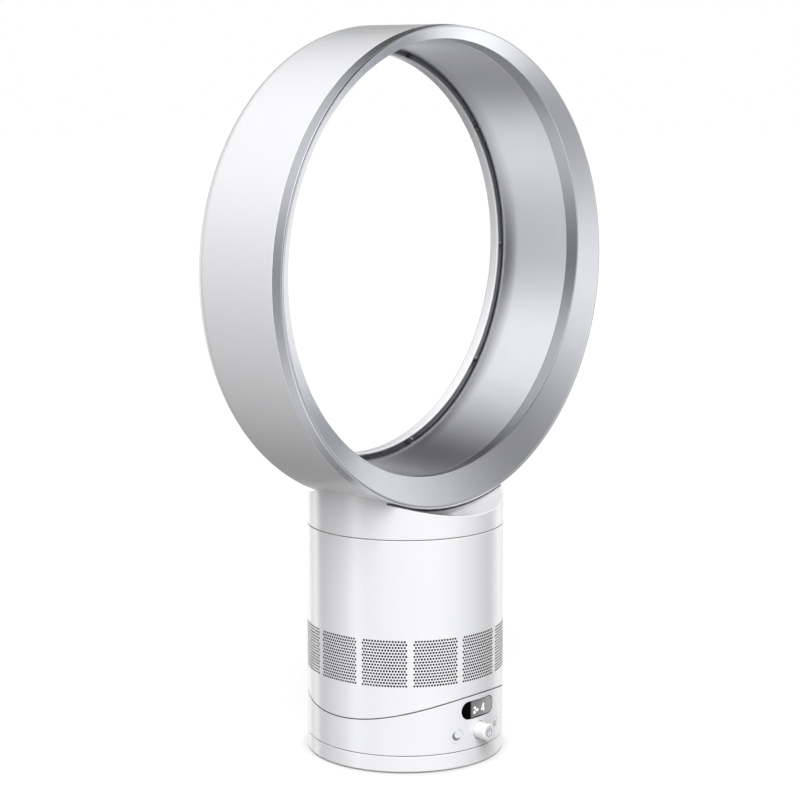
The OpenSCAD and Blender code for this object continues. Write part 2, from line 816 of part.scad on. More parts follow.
module tilt_slider() color("whitesmoke") difference() {
    union() {
        intersection() {
            difference() {
                cylinder(r = plate_r, h = baffle_z, $fn = round_fn);
                tilt_drum(slider_top_r);
            }
            tilt_drum(slider_r);
        }
        intersection() {
            standoffs_at() cylinder(r = standoff_r, h = main_board_z, $fn = small_fn);
            tilt_drum(slider_top_r + slider_t / 2);
        }
    }
    for (s = [-1, 1])
        tilt_bar(slider_top_r - over, slider_r + over, rail_w + 2 * run_gap, slot_half, s * rail_x);
    casing_posts_at() {
        cylinder(r = screw_r + set_gap, h = baffle_z, $fn = bit_fn);
        cylinder(r = screw_head_r + set_gap, h = slider_seat_z, $fn = bit_fn);
    }
    standoffs_at() translate([0, 0, main_board_z - fine_bite - over])
        cylinder(r = fine_r, h = fine_bite + 2 * over, $fn = bit_fn);
}

module slider_screws() color("silver")
    casing_posts_at() translate([0, 0, slider_seat_z]) mirror([0, 0, 1]) body_screw();

module main_board() color("seagreen") difference() {
    translate([-main_board_w / 2, -main_board_l / 2, main_board_z])
        cube([main_board_w, main_board_l, board_t]);
    standoffs_at() translate([0, 0, main_board_z - over])
        cylinder(r = fine_r + set_gap, h = board_t + 2 * over, $fn = bit_fn);
}

module main_board_screws() color("silver")
    standoffs_at() translate([0, 0, main_board_z + board_t])
        screw(fine_head_r, fine_head_h, fine_r, board_t + fine_bite);

module baffle_plate() color("whitesmoke") difference() {
    turned([
        [baffle_hole_r, baffle_z], [plate_r, baffle_z], [plate_r, baffle_z + baffle_t],
        [baffle_hole_r + baffle_t, baffle_z + baffle_t],
        [baffle_hole_r + baffle_t, baffle_z + baffle_neck_h],
        [baffle_hole_r, baffle_z + baffle_neck_h]
    ]);
    casing_posts_at() translate([0, 0, baffle_z - over])
        cylinder(r = screw_r + set_gap, h = baffle_t + 2 * over, $fn = bit_fn);
}

module baffle_screws() color("silver")
    casing_posts_at() translate([0, 0, baffle_z + baffle_t]) body_screw();

module inlet_foam() color("dimgray")
    ring(foam_out, foam_in, baffle_z + baffle_t, baffle_z + baffle_t + foam_t);

module inlet_cowl() color("dimgray") turned(concat(
    arc(inlet_r + cowl_r, inlet_z, cowl_r, 180, 270),
    [[inlet_r + cowl_r + cowl_brim, inlet_z - cowl_r],
     [inlet_r + cowl_r + cowl_brim, inlet_z - cowl_r + cowl_t],
     [inlet_r + cowl_r, inlet_z - cowl_r + cowl_t],
     [inlet_r + housing_wall, inlet_z - cowl_t], [inlet_r + housing_wall, inlet_z]]
));

module impeller_housing() color("gainsboro") turned([
    [inlet_r, inlet_z], [impeller_r + tip_gap, flare_z], [housing_r, straight_z],
    [housing_r, seat_z + housing_wall], [flange_r, seat_z + housing_wall], [flange_r, seat_z],
    [housing_r + housing_wall, seat_z], [housing_r + housing_wall, straight_z],
    [impeller_r + tip_gap + housing_wall, flare_z], [inlet_r + housing_wall, inlet_z]
]);

module housing_seal() color("dimgray")
    ring(flange_r, inner_r - ledge_w, ledge_z + ledge_t, seat_z);

// A strip that leaves the axis and curves outwards, standing upright
module curved_strip(bend_r, t, low, h)
    rotate([0, 0, strip_turn]) translate([bend_r, 0, low]) difference() {
        cylinder(r = bend_r + t / 2, h = h, $fn = round_fn);
        translate([0, 0, -over]) cylinder(r = bend_r - t / 2, h = h + 2 * over, $fn = round_fn);
    }

// The side of the axis on which such a strip is kept
module strip_side(r, low, h) translate([0, -r, low]) cube([r, 2 * r, h]);

// Radius of the impeller's hub and of its blade tips at height z
function hub_line(z) = hub_low_r + (hub_top_r - hub_low_r) * (z - impeller_z) / impeller_h;
function tip_line(z) = inlet_r - tip_gap
    + (impeller_r + tip_gap - inlet_r) * (z - inlet_z) / (flare_z - inlet_z);

module impeller() color("whitesmoke") {
    top = impeller_z + impeller_h;
    inside = impeller_z + hub_nose;
    turned([
        [shaft_r + snug_gap, impeller_z - hub_nose / 2], [hub_low_r / 2, impeller_z - hub_nose / 2],
        [hub_low_r, impeller_z], [hub_top_r, top], [hub_top_r - hub_wall, top],
        [hub_line(inside) - hub_wall, inside], [hub_boss_r, inside],
        [hub_boss_r, top - hub_nose], [shaft_r + snug_gap, top - hub_nose]
    ]);
    intersection() {
        around(impeller_blades) intersection() {
            curved_strip(blade_bend_r, blade_t, impeller_z, impeller_h);
            strip_side(impeller_r, impeller_z, impeller_h);
        }
        turned([
            [hub_low_r - hub_wall / 2, impeller_z], [tip_line(impeller_z), impeller_z],
            [tip_line(top), top], [hub_top_r - hub_wall / 2, top]
        ]);
    }
}

module diffuser() color("gainsboro") {
    hub = bucket_r + set_gap + vane_hub_t;
    ring(hub, bucket_r + set_gap, vane_z, vane_z + vane_h);
    intersection() {
        around(diffuser_vanes) intersection() {
            curved_strip(vane_bend_r, vane_t, vane_z, vane_h);
            strip_side(housing_r, vane_z, vane_h);
        }
        ring(housing_r - set_gap, hub - vane_hub_t / 2, vane_z, vane_z + vane_h);
    }
}

module motor_bucket_lower() color("whitesmoke") {
    seat = bucket_z + seat_lip;
    turned([
        [shaft_r + run_gap, bucket_z], [bucket_r, bucket_z], [bucket_r, bucket_z + bucket_split],
        [bucket_r - bucket_wall, bucket_z + bucket_split],
        [bucket_r - bucket_wall, bucket_z + bucket_wall],
        [bearing_r + bearing_wall, bucket_z + bucket_wall],
        [bearing_r + bearing_wall, seat + bearing_t], [bearing_r, seat + bearing_t],
        [bearing_r, seat], [shaft_r + run_gap, seat]
    ]);
}

module motor_bucket_upper() color("whitesmoke") {
    top = bucket_z + bucket_h;
    seat = top - bucket_wall - seat_lip;
    turned(concat(
        [[0, top]],
        arc(bucket_r - bucket_round, top - bucket_round, bucket_round, 90, 0),
        [[bucket_r, bucket_z + bucket_split], [bucket_r - bucket_wall, bucket_z + bucket_split]],
        arc(bucket_r - bucket_round, top - bucket_round, bucket_round - bucket_wall, 0, 90),
        [[bearing_r + bearing_wall, top - bucket_wall], [bearing_r + bearing_wall, seat - bearing_t],
         [bearing_r, seat - bearing_t], [bearing_r, seat], [0, seat]]
    ));
}

module stator_core() color("dimgray") difference() {
    ring(stator_r, stator_bore_r, stator_z, stator_z + stator_h);
    around(stator_slots) translate([slot_at, 0, stator_z - over])
        cylinder(r = slot_r, h = stator_h + 2 * over, $fn = small_fn);
}

module stator_windings() color("peru") {
    ring(winding_out, winding_in, stator_z - winding_h, stator_z);
    ring(winding_out, winding_in, stator_z + stator_h, stator_z + stator_h + winding_h);
}

module bearings() color("silver") {
    ring(bearing_r, shaft_r + shaft_gap, bearing_low, bearing_low + bearing_t);
    ring(bearing_r, shaft_r + shaft_gap, bearing_high - bearing_t, bearing_high);
}

module rotor_shaft() color("silver") {
    translate([0, 0, impeller_z - hub_nose / 2])
        cylinder(r = shaft_r, h = bearing_high - run_gap - impeller_z + hub_nose / 2, $fn = small_fn);
    ring(rotor_r, shaft_r - over / 2, stator_z, stator_z + stator_h);
}

module bayonet_ring() color("gainsboro") {
    ring(plate_r, bayonet_in, seat_z + housing_wall, bayonet_top);
    around(lugs) rotate([0, 0, -lug_angle / 2]) rotate_extrude(angle = lug_angle, $fn = round_fn)
        translate([lug_in, bayonet_top - lug_t]) square([bayonet_in - lug_in + over, lug_t]);
}

module loop_seal() color("dimgray") ring(plate_r, seal_in, bayonet_top, neck_low);

module neck_foam() color("dimgray")
    ring(plate_r, plate_r - neck_foam_w, neck_low + web_t, neck_low + web_t + neck_foam_h);

// Air loop

// The white shell in section: points of radius and depth, its back rounded, then sloping inwards
function shell_section(inset) = let (
    front = -shell_front - (inset > 0 ? over : 0),
    back = shell_back - inset,
    bend = back_round - inset,
    slope_r = round_at + bend * cos(round_turn),
    slope_y = round_y + bend * sin(round_turn)
) concat(
    [[0, front], [loop_r - inset, front]],
    arc(round_at, round_y, bend, 0, round_turn),
    [[slope_r - (back - slope_y) / tan(back_slope), back], [0, back]]
);

// The opening at the back, flared at its edge
module shell_opening() turned_level(inner_z, concat(
    [[0, -shell_front], [lip_r, -shell_front]],
    arc(lip_r + lip_round, shell_back - lip_round, lip_round, 180, 90),
    [[lip_r + lip_round, shell_back + over], [0, shell_back + over]]
));

// What is cut from the neck: the room of the loop, and a shallow gap before and behind it
module neck_saddle() turned_level(loop_z, [
    [0, -body_r - over], [shelf_r, -body_r - over], [shelf_r, -shell_front],
    [loop_r - loop_wall / 2, -shell_front], [loop_r - loop_wall / 2, round_y],
    [shelf_r, round_y], [shelf_r, body_r + over], [0, body_r + over]
]);

module neck() difference() {
    translate([0, 0, neck_low]) cylinder(r = body_r, h = neck_top - neck_low, $fn = round_fn);
    difference() {
        translate([0, 0, neck_low - over]) cylinder(r = inner_r, h = neck_top, $fn = round_fn);
        level_drum(loop_z, roof_r, -body_r - over, body_r + over);
    }
    neck_saddle();
}

// Web and lugged collar under the neck
module collar() {
    ring(inner_r + over, collar_in, neck_low, neck_low + web_t);
    ring(collar_out, collar_in, collar_low, neck_low + web_t);
    around(lugs) rotate([0, 0, -lug_angle / 2]) rotate_extrude(angle = lug_angle, $fn = round_fn)
        translate([collar_out - over / 2, collar_low])
            square([collar_lug_r - collar_out + over / 2, lug_t]);
}

// The way for the air from the neck into the hollow ring
module air_port() intersection() {
    translate([0, 0, neck_low + web_t])
        cylinder(r = inner_r - loop_wall, h = neck_top - neck_low, $fn = round_fn);
    translate([-body_r, -port_front, neck_low])
        cube([body_d, port_front + port_back, neck_top - neck_low]);
    difference() {
        level_drum(loop_z, roof_r + over, -body_r, body_r);
        level_drum(loop_z, loop_r - loop_wall - over, -body_r - over, body_r + over);
    }
}

module loop_shell() color("white") difference() {
    union() {
        difference() {
            turned_level(loop_z, shell_section(0));
            turned_level(loop_z, shell_section(loop_wall));
        }
        intersection() {
            level_drum(inner_z, lip_r + lip_wall, lip_front, shell_back);
            turned_level(loop_z, shell_section(0));
        }
        neck();
        collar();
    }
    shell_opening();
    air_port();
}

module loop_inner_wall() color("silver") turned_level(inner_z, concat(
    [[band_r, -inner_front]],
    arc(nose_r, guide_back, guide_round, 180 + guide_lean, 90),
    arc(nose_r, guide_back, guide_round - loop_wall, 90, 180 + guide_lean),
    [[band_out, 2 * tongue_t - inner_front],
     [band_out + set_gap + tongue_t, tongue_t - inner_front],
     [band_out + set_gap + tongue_t, -inner_front - tongue_l],
     [band_out + set_gap, -inner_front - tongue_l], [band_out + set_gap, -inner_front]]
));

// A hoop of points: the height of its centre, its radius, its depth and how its top leans forward
function hoop(z, r, y, lean = 0) = [for (k = [0 : hoop_n - 1]) let (t = k * 360 / hoop_n)
    [r * cos(t), y - r * sin(t) * sin(lean), z + r * sin(t) * cos(lean)]];

// A hoop across the sloping face: share 0 is its front edge, 1 its inner edge
function face_hoop(share, back = 0) = hoop(
    loop_z + share * inner_rise, bezel_r + share * (band_r - bezel_r),
    share * face_depth - bezel_front + back, share * face_lean);

// A closed skin through hoops that run once around its section
module hoop_skin(hoops) {
    n = len(hoops);
    polyhedron(
        points = [for (h = hoops) each h],
        faces = [
            for (i = [0 : n - 1]) for (k = [0 : hoop_n - 1])
                let (
                    a = i * hoop_n, b = (i + 1) % n * hoop_n,
                    m = (k + 1) % hoop_n
                )
                each [[a + k, a + m, b + m], [a + k, b + m, b + k]]
        ]
    );
}

module loop_bezel() color("silver") hoop_skin(concat(
    [for (p = arc(bezel_r, bezel_edge - bezel_front, bezel_edge, -90, 0, edge_steps))
        hoop(loop_z, p[0], p[1])],
    [hoop(loop_z, loop_r, -shell_front), hoop(loop_z, rim_r, -shell_front),
     hoop(loop_z, rim_r, rim_l - shell_front), hoop(loop_z, rim_r - rim_t, rim_l - shell_front),
     hoop(loop_z, rim_r - rim_t, 2 * face_wall - bezel_front)],
    [for (share = face_back_shares) face_hoop(share, face_wall)],
    [hoop(inner_z, band_out, rim_l - shell_front), hoop(inner_z, band_out, -inner_front),
     hoop(inner_z, band_r, -inner_front), face_hoop(1)]
));

// Ribs across the slot, between the lip and the inner wall's back edge
module slot_spacers() color("silver") intersection() {
    translate([0, 0, inner_z]) rotate([-90, 0, 0]) around(spacer_count)
        rotate([0, 0, -spacer_angle / 2]) rotate_extrude(angle = spacer_angle, $fn = round_fn)
            polygon(concat(
                arc(nose_r, guide_back, guide_round, 90 + spacer_turn, 90),
                [[nose_r, shell_back], [lip_r + lip_wall, shell_back],
                 [lip_r + lip_wall, lip_front + lip_wall / 2]]
            ));
    turned_level(loop_z, shell_section(loop_wall));
}

foot_shell();
foot_base_plate();
non_slip_mat();
foot_screws();
pivot_sleeve();
pivot_cap();
pivot_screws();
glide_ring();
ring_gear();
power_socket();
control_casing();
swivel_floor();
floor_screws();
swing_motor();
motor_screws();
swing_pinion();
tilt_cradle();
rail_caps();
rail_screws();
control_board();
board_screws();
display_window();
display_module();
knob_encoder();
tact_switches();
knob_carriage();
control_knob();
sleep_button();
oscillation_button();
main_casing();
tilt_slider();
slider_screws();
main_board();
main_board_screws();
baffle_plate();
baffle_screws();
inlet_foam();
inlet_cowl();
impeller_housing();
housing_seal();
diffuser();
motor_bucket_lower();
motor_bucket_upper();
stator_core();
stator_windings();
bearings();
rotor_shaft();
impeller();
bayonet_ring();
loop_seal();
neck_foam();
loop_shell();
loop_inner_wall();
loop_bezel();
slot_spacers();
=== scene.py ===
import bpy
import bmesh
import json
from functools import partial
from math import acos, asin, cos, degrees, pi, radians, sin, sqrt, tan
from mathutils import Matrix, Vector

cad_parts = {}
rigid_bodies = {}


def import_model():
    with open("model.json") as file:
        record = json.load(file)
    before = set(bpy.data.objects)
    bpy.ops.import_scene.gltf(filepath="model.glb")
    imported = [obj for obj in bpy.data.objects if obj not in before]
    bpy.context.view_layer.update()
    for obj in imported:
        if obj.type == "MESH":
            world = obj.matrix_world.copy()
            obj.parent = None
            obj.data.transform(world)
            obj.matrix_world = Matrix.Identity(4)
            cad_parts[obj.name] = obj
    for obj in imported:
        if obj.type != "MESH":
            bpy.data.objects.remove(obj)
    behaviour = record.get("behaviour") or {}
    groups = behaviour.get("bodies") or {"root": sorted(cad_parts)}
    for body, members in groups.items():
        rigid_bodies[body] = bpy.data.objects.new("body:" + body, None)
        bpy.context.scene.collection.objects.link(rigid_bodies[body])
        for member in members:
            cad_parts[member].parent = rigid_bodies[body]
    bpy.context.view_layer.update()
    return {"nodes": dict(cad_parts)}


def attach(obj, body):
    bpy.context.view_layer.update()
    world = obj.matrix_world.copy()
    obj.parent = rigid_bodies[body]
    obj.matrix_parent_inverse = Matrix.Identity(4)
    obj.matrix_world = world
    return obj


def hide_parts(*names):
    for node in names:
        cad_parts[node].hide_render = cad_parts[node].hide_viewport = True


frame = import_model()
sceneObjects = bpy.context.scene.collection.objects
mm = 0.001
print("frame loaded")


# node helpers

def addNode(tree, kind, settings=None, **inputs):
    node = tree.nodes.new(kind)
    for key, value in (settings or {}).items():
        setattr(node, key, value)
    for key, value in inputs.items():
        name = key.replace("_", " ")
        socket = node.inputs[int(key[1:])] if key[0] == "i" and key[1:].isdigit() else node.inputs[name]
        if isinstance(value, bpy.types.Node):
            value = value.outputs[0]
        if isinstance(value, bpy.types.NodeSocket):
            tree.links.new(value, socket)
        else:
            socket.default_value = value
    return node


# arithmetic goes into the tree of the socket that it starts from
def calc(operation, a, b=0.0, clamp=False):
    tree = (a if isinstance(a, bpy.types.NodeSocket) else b).id_data
    return addNode(tree, "ShaderNodeMath", {"operation": operation, "use_clamp": clamp}, i0=a, i1=b).outputs[0]


plus, minus, times, over = (partial(calc, operation)
                            for operation in ("ADD", "SUBTRACT", "MULTIPLY", "DIVIDE"))


def ramp(value, low, high, toLow=0.0, toHigh=1.0):
    return addNode(value.id_data, "ShaderNodeMapRange", {"interpolation_type": "SMOOTHSTEP"},
                   i0=value, i1=low, i2=high, i3=toLow, i4=toHigh).outputs[0]


def mixColors(amount, a, b):
    return addNode(amount.id_data, "ShaderNodeMix", {"data_type": "RGBA"}, i0=amount, i6=a, i7=b).outputs[2]


def mixShaders(amount, a, b):
    return addNode(amount.id_data, "ShaderNodeMixShader", i0=amount, i1=a, i2=b)


def objectPlace(tree):
    return tree.nodes.new("ShaderNodeTexCoord").outputs["Object"]


# camera rays, also those that came through glass
def straightRays(rays):
    return calc("MAXIMUM", rays["Is Camera Ray"], rays["Is Transmission Ray"])


def grey(value):
    return (value, value, value, 1)


def addSockets(tree, way, **names):
    for kind, listed in names.items():
        for name in listed.split(", "):
            tree.interface.new_socket(name=name, in_out=way, socket_type="NodeSocket" + kind)


# one group gives every moulded, painted or metal surface its fine variation
def buildGrainGroup():
    tree = bpy.data.node_groups.new("surfaceGrain", "ShaderNodeTree")
    addSockets(tree, "INPUT", Color="Light Color, Dark Color", Vector="Stretch",
               Float="Cloud Scale, Grain Scale, Smooth Roughness, Rough Roughness")
    addSockets(tree, "OUTPUT", Color="Color", Float="Roughness, Height")
    add = partial(addNode, tree)
    given = add("NodeGroupInput").outputs
    place = objectPlace(tree)
    stretched = add("ShaderNodeVectorMath", {"operation": "MULTIPLY"}, i0=place, i1=given["Stretch"])
    cloud = add("ShaderNodeTexNoise", Vector=place, Scale=given["Cloud Scale"], Detail=3.0,
                Roughness=0.55).outputs["Fac"]
    fine = add("ShaderNodeTexNoise", Vector=stretched, Scale=given["Grain Scale"], Detail=4.0,
               Roughness=0.6).outputs["Fac"]
    cells = add("ShaderNodeTexVoronoi", {"feature": "SMOOTH_F1"}, Vector=stretched,
                Scale=given["Grain Scale"], Smoothness=0.8).outputs["Distance"]
    blend = plus(times(ramp(cloud, 0.32, 0.68), 0.7), times(fine, 0.3), True)
    rough = add("ShaderNodeMapRange", i0=blend, i1=0.0, i2=1.0, i3=given["Smooth Roughness"],
                i4=given["Rough Roughness"])
    add("NodeGroupOutput", Color=mixColors(blend, given["Light Color"], given["Dark Color"]),
        Roughness=rough, Height=plus(times(cells, 0.6), times(fine, 0.4)))
    return tree


grainGroup = buildGrainGroup()


def grainMaterial(name, light, dark, rough, metallic=0.0, cloud=40.0, grain=900.0, stretch=(1, 1, 1),
                  bump=0.05, depth=0.00004, coat=0.0, coatRough=0.1, ior=1.46):
    material = bpy.data.materials.new(name)
    material.use_nodes = True
    tree = material.node_tree
    shader = tree.nodes["Principled BSDF"]
    grains = tree.nodes.new("ShaderNodeGroup")
    grains.node_tree = grainGroup
    for key, value in (("Light Color", (*light, 1)), ("Dark Color", (*dark, 1)), ("Cloud Scale", cloud),
                       ("Grain Scale", grain), ("Stretch", stretch), ("Smooth Roughness", rough[0]),
                       ("Rough Roughness", rough[1])):
        grains.inputs[key].default_value = value
    tree.links.new(grains.outputs["Color"], shader.inputs["Base Color"])
    tree.links.new(grains.outputs["Roughness"], shader.inputs["Roughness"])
    lift = addNode(tree, "ShaderNodeBump", Strength=bump, Distance=depth, Height=grains.outputs["Height"])
    tree.links.new(lift.outputs["Normal"], shader.inputs["Normal"])
    shader.inputs["Metallic"].default_value = metallic
    shader.inputs["IOR"].default_value = ior
    shader.inputs["Coat Weight"].default_value = coat
    shader.inputs["Coat Roughness"].default_value = coatRough
    material.diffuse_color = (*light, 1)
    return material


def windowMaterial(sizes):
    material = grainMaterial("displayGlass", (0.25, 0.25, 0.255), (0.22, 0.22, 0.225), (0.1, 0.14),
                             bump=0.02)
    tree = material.node_tree
    shader = tree.nodes["Principled BSDF"]
    shader.inputs["Specular IOR Level"].default_value = 0.03
    grains = next(node for node in tree.nodes if node.type == "GROUP")
    place = addNode(tree, "ShaderNodeSeparateXYZ", i0=objectPlace(tree)).outputs
    # the black left end, the grey panel with a painted reflection that brightens it towards the right, and the
    # dark printed rim
    blackLeft = ramp(place[0], sizes["blackEnd"] * mm, (sizes["blackEnd"] + sizes["blackFade"]) * mm, 1.0, 0.0)
    paintedReflection = ramp(place[0], sizes["reflectionFrom"] * mm, sizes["halfWidth"] * mm)
    panel = mixColors(paintedReflection, grains.outputs["Color"], grey(sizes["reflectionTone"]))
    aside = minus(calc("ABSOLUTE", place[0]), (sizes["halfWidth"] - sizes["halfHeight"]) * mm)
    aside = calc("MAXIMUM", aside, 0.0)
    above = minus(place[2], sizes["middle"] * mm)
    away = calc("SQRT", plus(times(aside, aside), times(above, above)))
    rimAt = sizes["halfHeight"] - sizes["rim"]
    rim = ramp(away, (rimAt - sizes["rimSoft"]) * mm, (rimAt + sizes["rimSoft"]) * mm)
    tree.links.new(mixColors(calc("MAXIMUM", blackLeft, rim), panel, grey(sizes["darkTone"])),
                   shader.inputs["Base Color"])
    return material


window = {"halfWidth": 17.8, "halfHeight": 6.8, "middle": 43.0, "front": 74.4, "back": 72.6, "edge": 0.25,
          "steps": 28, "insets": (0.5, 0.9, 1.6, 2.6, 3.6, 4.6, 5.6, 6.3, 6.7), "blackEnd": -9.6,
          "blackFade": 2.6, "reflectionFrom": -4, "reflectionTone": 0.46, "rim": 0.5, "rimSoft": 0.15,
          "darkTone": 0.001}
silver = {"rough": (0.24, 0.26), "metallic": 1.0, "cloud": 60.0, "grain": 5200.0, "bump": 0.008,
          "depth": 0.00001}
finishes = {
    "white_shell": grainMaterial("whiteShell", (0.8, 0.803, 0.82), (0.79, 0.793, 0.81), (0.16, 0.2),
        grain=1400.0, bump=0.015, coat=1.0, coatRough=0.05, ior=1.6),
    "silver_trim": grainMaterial("silverPaint", (0.785, 0.795, 0.83), (0.77, 0.78, 0.815), **silver),
    # a darker copy of the silver, painted shade on the bezel's flanks
    "silver_flank_shade": grainMaterial("shadedSilverFlank", (0.64, 0.655, 0.69), (0.625, 0.64, 0.675), **silver),
    "inner_plastic": grainMaterial("innerPlastic", (0.62, 0.62, 0.61), (0.55, 0.55, 0.545), (0.42, 0.55),
        grain=1600.0, bump=0.12),
    # dark plastic for the parts that are black, and painted shade where seams, hole walls and inner parts
    # stand in shade
    "dark_plastic": grainMaterial("darkPlasticAndShade", (0.035, 0.035, 0.037), (0.022, 0.022, 0.024), (0.45, 0.6),
        grain=1800.0, bump=0.15),
    # painted shade: the slot spacers take a dark grey, as they sit in the shade of the slot
    "slot_rib_shade": grainMaterial("shadedSlotRib", (0.17, 0.17, 0.175), (0.15, 0.15, 0.155), (0.5, 0.62), grain=1600.0,
        bump=0.1),
    # painted shade for the hollow behind the slot
    "slot_hollow_shade": grainMaterial("shadedSlotHollow", (0.42, 0.43, 0.45), (0.38, 0.39, 0.41), (0.5, 0.62),
        grain=1600.0, bump=0.1),
    "window": windowMaterial(window),
    "seal_rubber": grainMaterial("sealRubber", (0.045, 0.045, 0.046), (0.03, 0.03, 0.031), (0.65, 0.8),
        grain=1200.0, bump=0.25),
    "foam": grainMaterial("openFoam", (0.075, 0.075, 0.08), (0.03, 0.03, 0.033), (0.9, 0.98), cloud=120.0,
        grain=700.0, bump=0.9, depth=0.0006),
    "screw_steel": grainMaterial("screwSteel", (0.6, 0.6, 0.61), (0.5, 0.5, 0.52), (0.28, 0.4), metallic=1.0,
        grain=1500.0, bump=0.08),
    "motor_steel": grainMaterial("motorSteel", (0.56, 0.57, 0.58), (0.47, 0.47, 0.49), (0.3, 0.42),
        metallic=1.0, grain=900.0, stretch=(1, 1, 12), bump=0.1),
    "lamination": grainMaterial("laminatedIron", (0.3, 0.3, 0.31), (0.18, 0.18, 0.19), (0.4, 0.55),
        metallic=1.0, grain=240.0, stretch=(0.05, 0.05, 8), bump=0.6, depth=0.0001),
    "copper_wire": grainMaterial("copperWire", (0.75, 0.34, 0.16), (0.5, 0.19, 0.08), (0.25, 0.38),
        metallic=1.0, grain=500.0, stretch=(0.2, 0.2, 5), bump=0.8, depth=0.0002),
    "gear_plastic": grainMaterial("gearPlastic", (0.72, 0.7, 0.63), (0.66, 0.64, 0.57), (0.35, 0.45),
        grain=1300.0, bump=0.08),
    "board": grainMaterial("boardLaminate", (0.03, 0.16, 0.07), (0.015, 0.1, 0.045), (0.35, 0.5),
        cloud=160.0, grain=1900.0, bump=0.15),
}
inkFinish = grainMaterial("greyInk", (0.2, 0.2, 0.21), (0.18, 0.18, 0.19), (0.4, 0.5), grain=2600.0,
                          bump=0.06)
glowFinish = grainMaterial("litSegment", (0.9, 0.9, 0.9), (0.85, 0.85, 0.86), (0.3, 0.4), grain=2600.0,
                           bump=0.02)
glowStrength = 0.45
glowShader = glowFinish.node_tree.nodes["Principled BSDF"]
glowShader.inputs["Emission Color"].default_value = grey(1)
glowShader.inputs["Emission Strength"].default_value = glowStrength

nodesOfSlot = {
    "white_shell": "foot_shell control_casing control_knob sleep_button oscillation_button main_casing"
                   " loop_shell",
    "silver_trim": "loop_bezel loop_inner_wall",
    "inner_plastic": "pivot_sleeve pivot_cap swivel_floor tilt_cradle rail_caps tilt_slider"
                     " impeller_housing diffuser motor_bucket_lower motor_bucket_upper bayonet_ring"
                     " impeller knob_carriage display_module",
    # baffle_plate and inlet_cowl take the dark finish as painted shade, for the shaded inside seen through the
    # holes
    "dark_plastic": "foot_base_plate power_socket tact_switches baffle_plate inlet_cowl",
    # the slot spacers wear painted shade
    "slot_rib_shade": "slot_spacers",
    "window": "display_window",
    "seal_rubber": "non_slip_mat housing_seal loop_seal",
    "foam": "inlet_foam neck_foam",
    "screw_steel": "foot_screws pivot_screws floor_screws motor_screws rail_screws board_screws slider_screws"
                   " main_board_screws baffle_screws bearings rotor_shaft",
    "motor_steel": "swing_motor knob_encoder",
    "lamination": "stator_core",
    "copper_wire": "stator_windings",
    "gear_plastic": "glide_ring ring_gear swing_pinion",
    "board": "control_board main_board",
}
slotOfNode = {nodeName: slotName for slotName, names in nodesOfSlot.items() for nodeName in names.split()}
for nodeName, cadObject in frame["nodes"].items():
    if not cadObject.material_slots:
        cadObject.data.materials.append(None)
    for materialSlot in cadObject.material_slots:
        materialSlot.material = finishes[slotOfNode[nodeName]]
print("materials made")


# mesh helpers, all in millimetres

weldWithin, mergeWithin, nearly = 2e-6, 4e-6, 1e-4
# inset and drop of an edge's rounding, as shares of its radius
edgeArc = [(1 - cos(radians(t)), 1 - sin(radians(t))) for t in (0, 30, 60, 90)]


def finishMesh(mesh, sharp=35.0):
    work = bmesh.new()
    work.from_mesh(mesh)
    bmesh.ops.remove_doubles(work, verts=work.verts, dist=weldWithin)
    bmesh.ops.recalc_face_normals(work, faces=work.faces)
    work.to_mesh(mesh)
    work.free()
    mesh.shade_smooth()
    mesh.set_sharp_from_angle(angle=radians(sharp))
    mesh.update()


def meshOf(name, verts, faces):
    mesh = bpy.data.meshes.new(name)
    mesh.from_pydata([[c * mm for c in v] for v in verts], [], faces)
    return mesh


def placed(name, data):
    item = bpy.data.objects.new(name, data)
    sceneObjects.link(item)
    return item


def makePiece(name, verts, faces, material, sharp=35.0):
    mesh = meshOf(name, verts, faces)
    mesh.materials.append(material)
    finishMesh(mesh, sharp)
    return placed(name, mesh)


# the mesh that an object has after its modifiers
def modifiedMesh(name, item):
    mesh = bpy.data.meshes.new_from_object(item.evaluated_get(bpy.context.evaluated_depsgraph_get()))
    mesh.name = name
    return mesh


def gridFaces(columns, rows):
    faces = []
    for i in range(columns):
        for j in range(rows):
            near, far = i * rows, (i + 1) % columns * rows
            faces.append((near + j, near + (j + 1) % rows, far + (j + 1) % rows, far + j))
    return faces


# a section of radius and height, stood up at an angle about the upright axis
def standing(section, angle):
    a = radians(angle)
    return [(r * cos(a), r * sin(a), z) for r, z in section]


rounding = {"supportShare": 0.3, "supportMost": 0.6, "supportLeast": 0.05, "large": 6, "finer": 3}


# replaces each corner of a closed section by an arc with a support point on either side
def roundCorners(corners, steps=4):
    points = []
    for index, (corner, radius) in enumerate(corners):
        here = Vector(corner)
        if not radius:
            points.append(tuple(here))
            continue
        arms = []
        for other in (corners[index - 1][0], corners[(index + 1) % len(corners)][0]):
            arm = Vector(other) - here
            arms.append(arm / sqrt(arm[0] ** 2 + arm[1] ** 2))
        between = acos(max(-1.0, min(1.0, arms[0][0] * arms[1][0] + arms[0][1] * arms[1][1])))
        cut = radius / tan(between / 2)
        spare = min(rounding["supportShare"] * radius, rounding["supportMost"]) + rounding["supportLeast"]
        start, end = here + arms[0] * cut, here + arms[1] * cut
        weight = sin(between / 2)
        points.append(tuple(here + arms[0] * (cut + spare)))
        count = steps if radius < rounding["large"] else rounding["finer"] * steps
        for k in range(count + 1):
            t = k / count
            a, b, c = (1 - t) ** 2, 2 * weight * t * (1 - t), t * t
            points.append(tuple((start * a + here * b + end * c) / (a + b + c)))
        points.append(tuple(here + arms[1] * (cut + spare)))
    return points


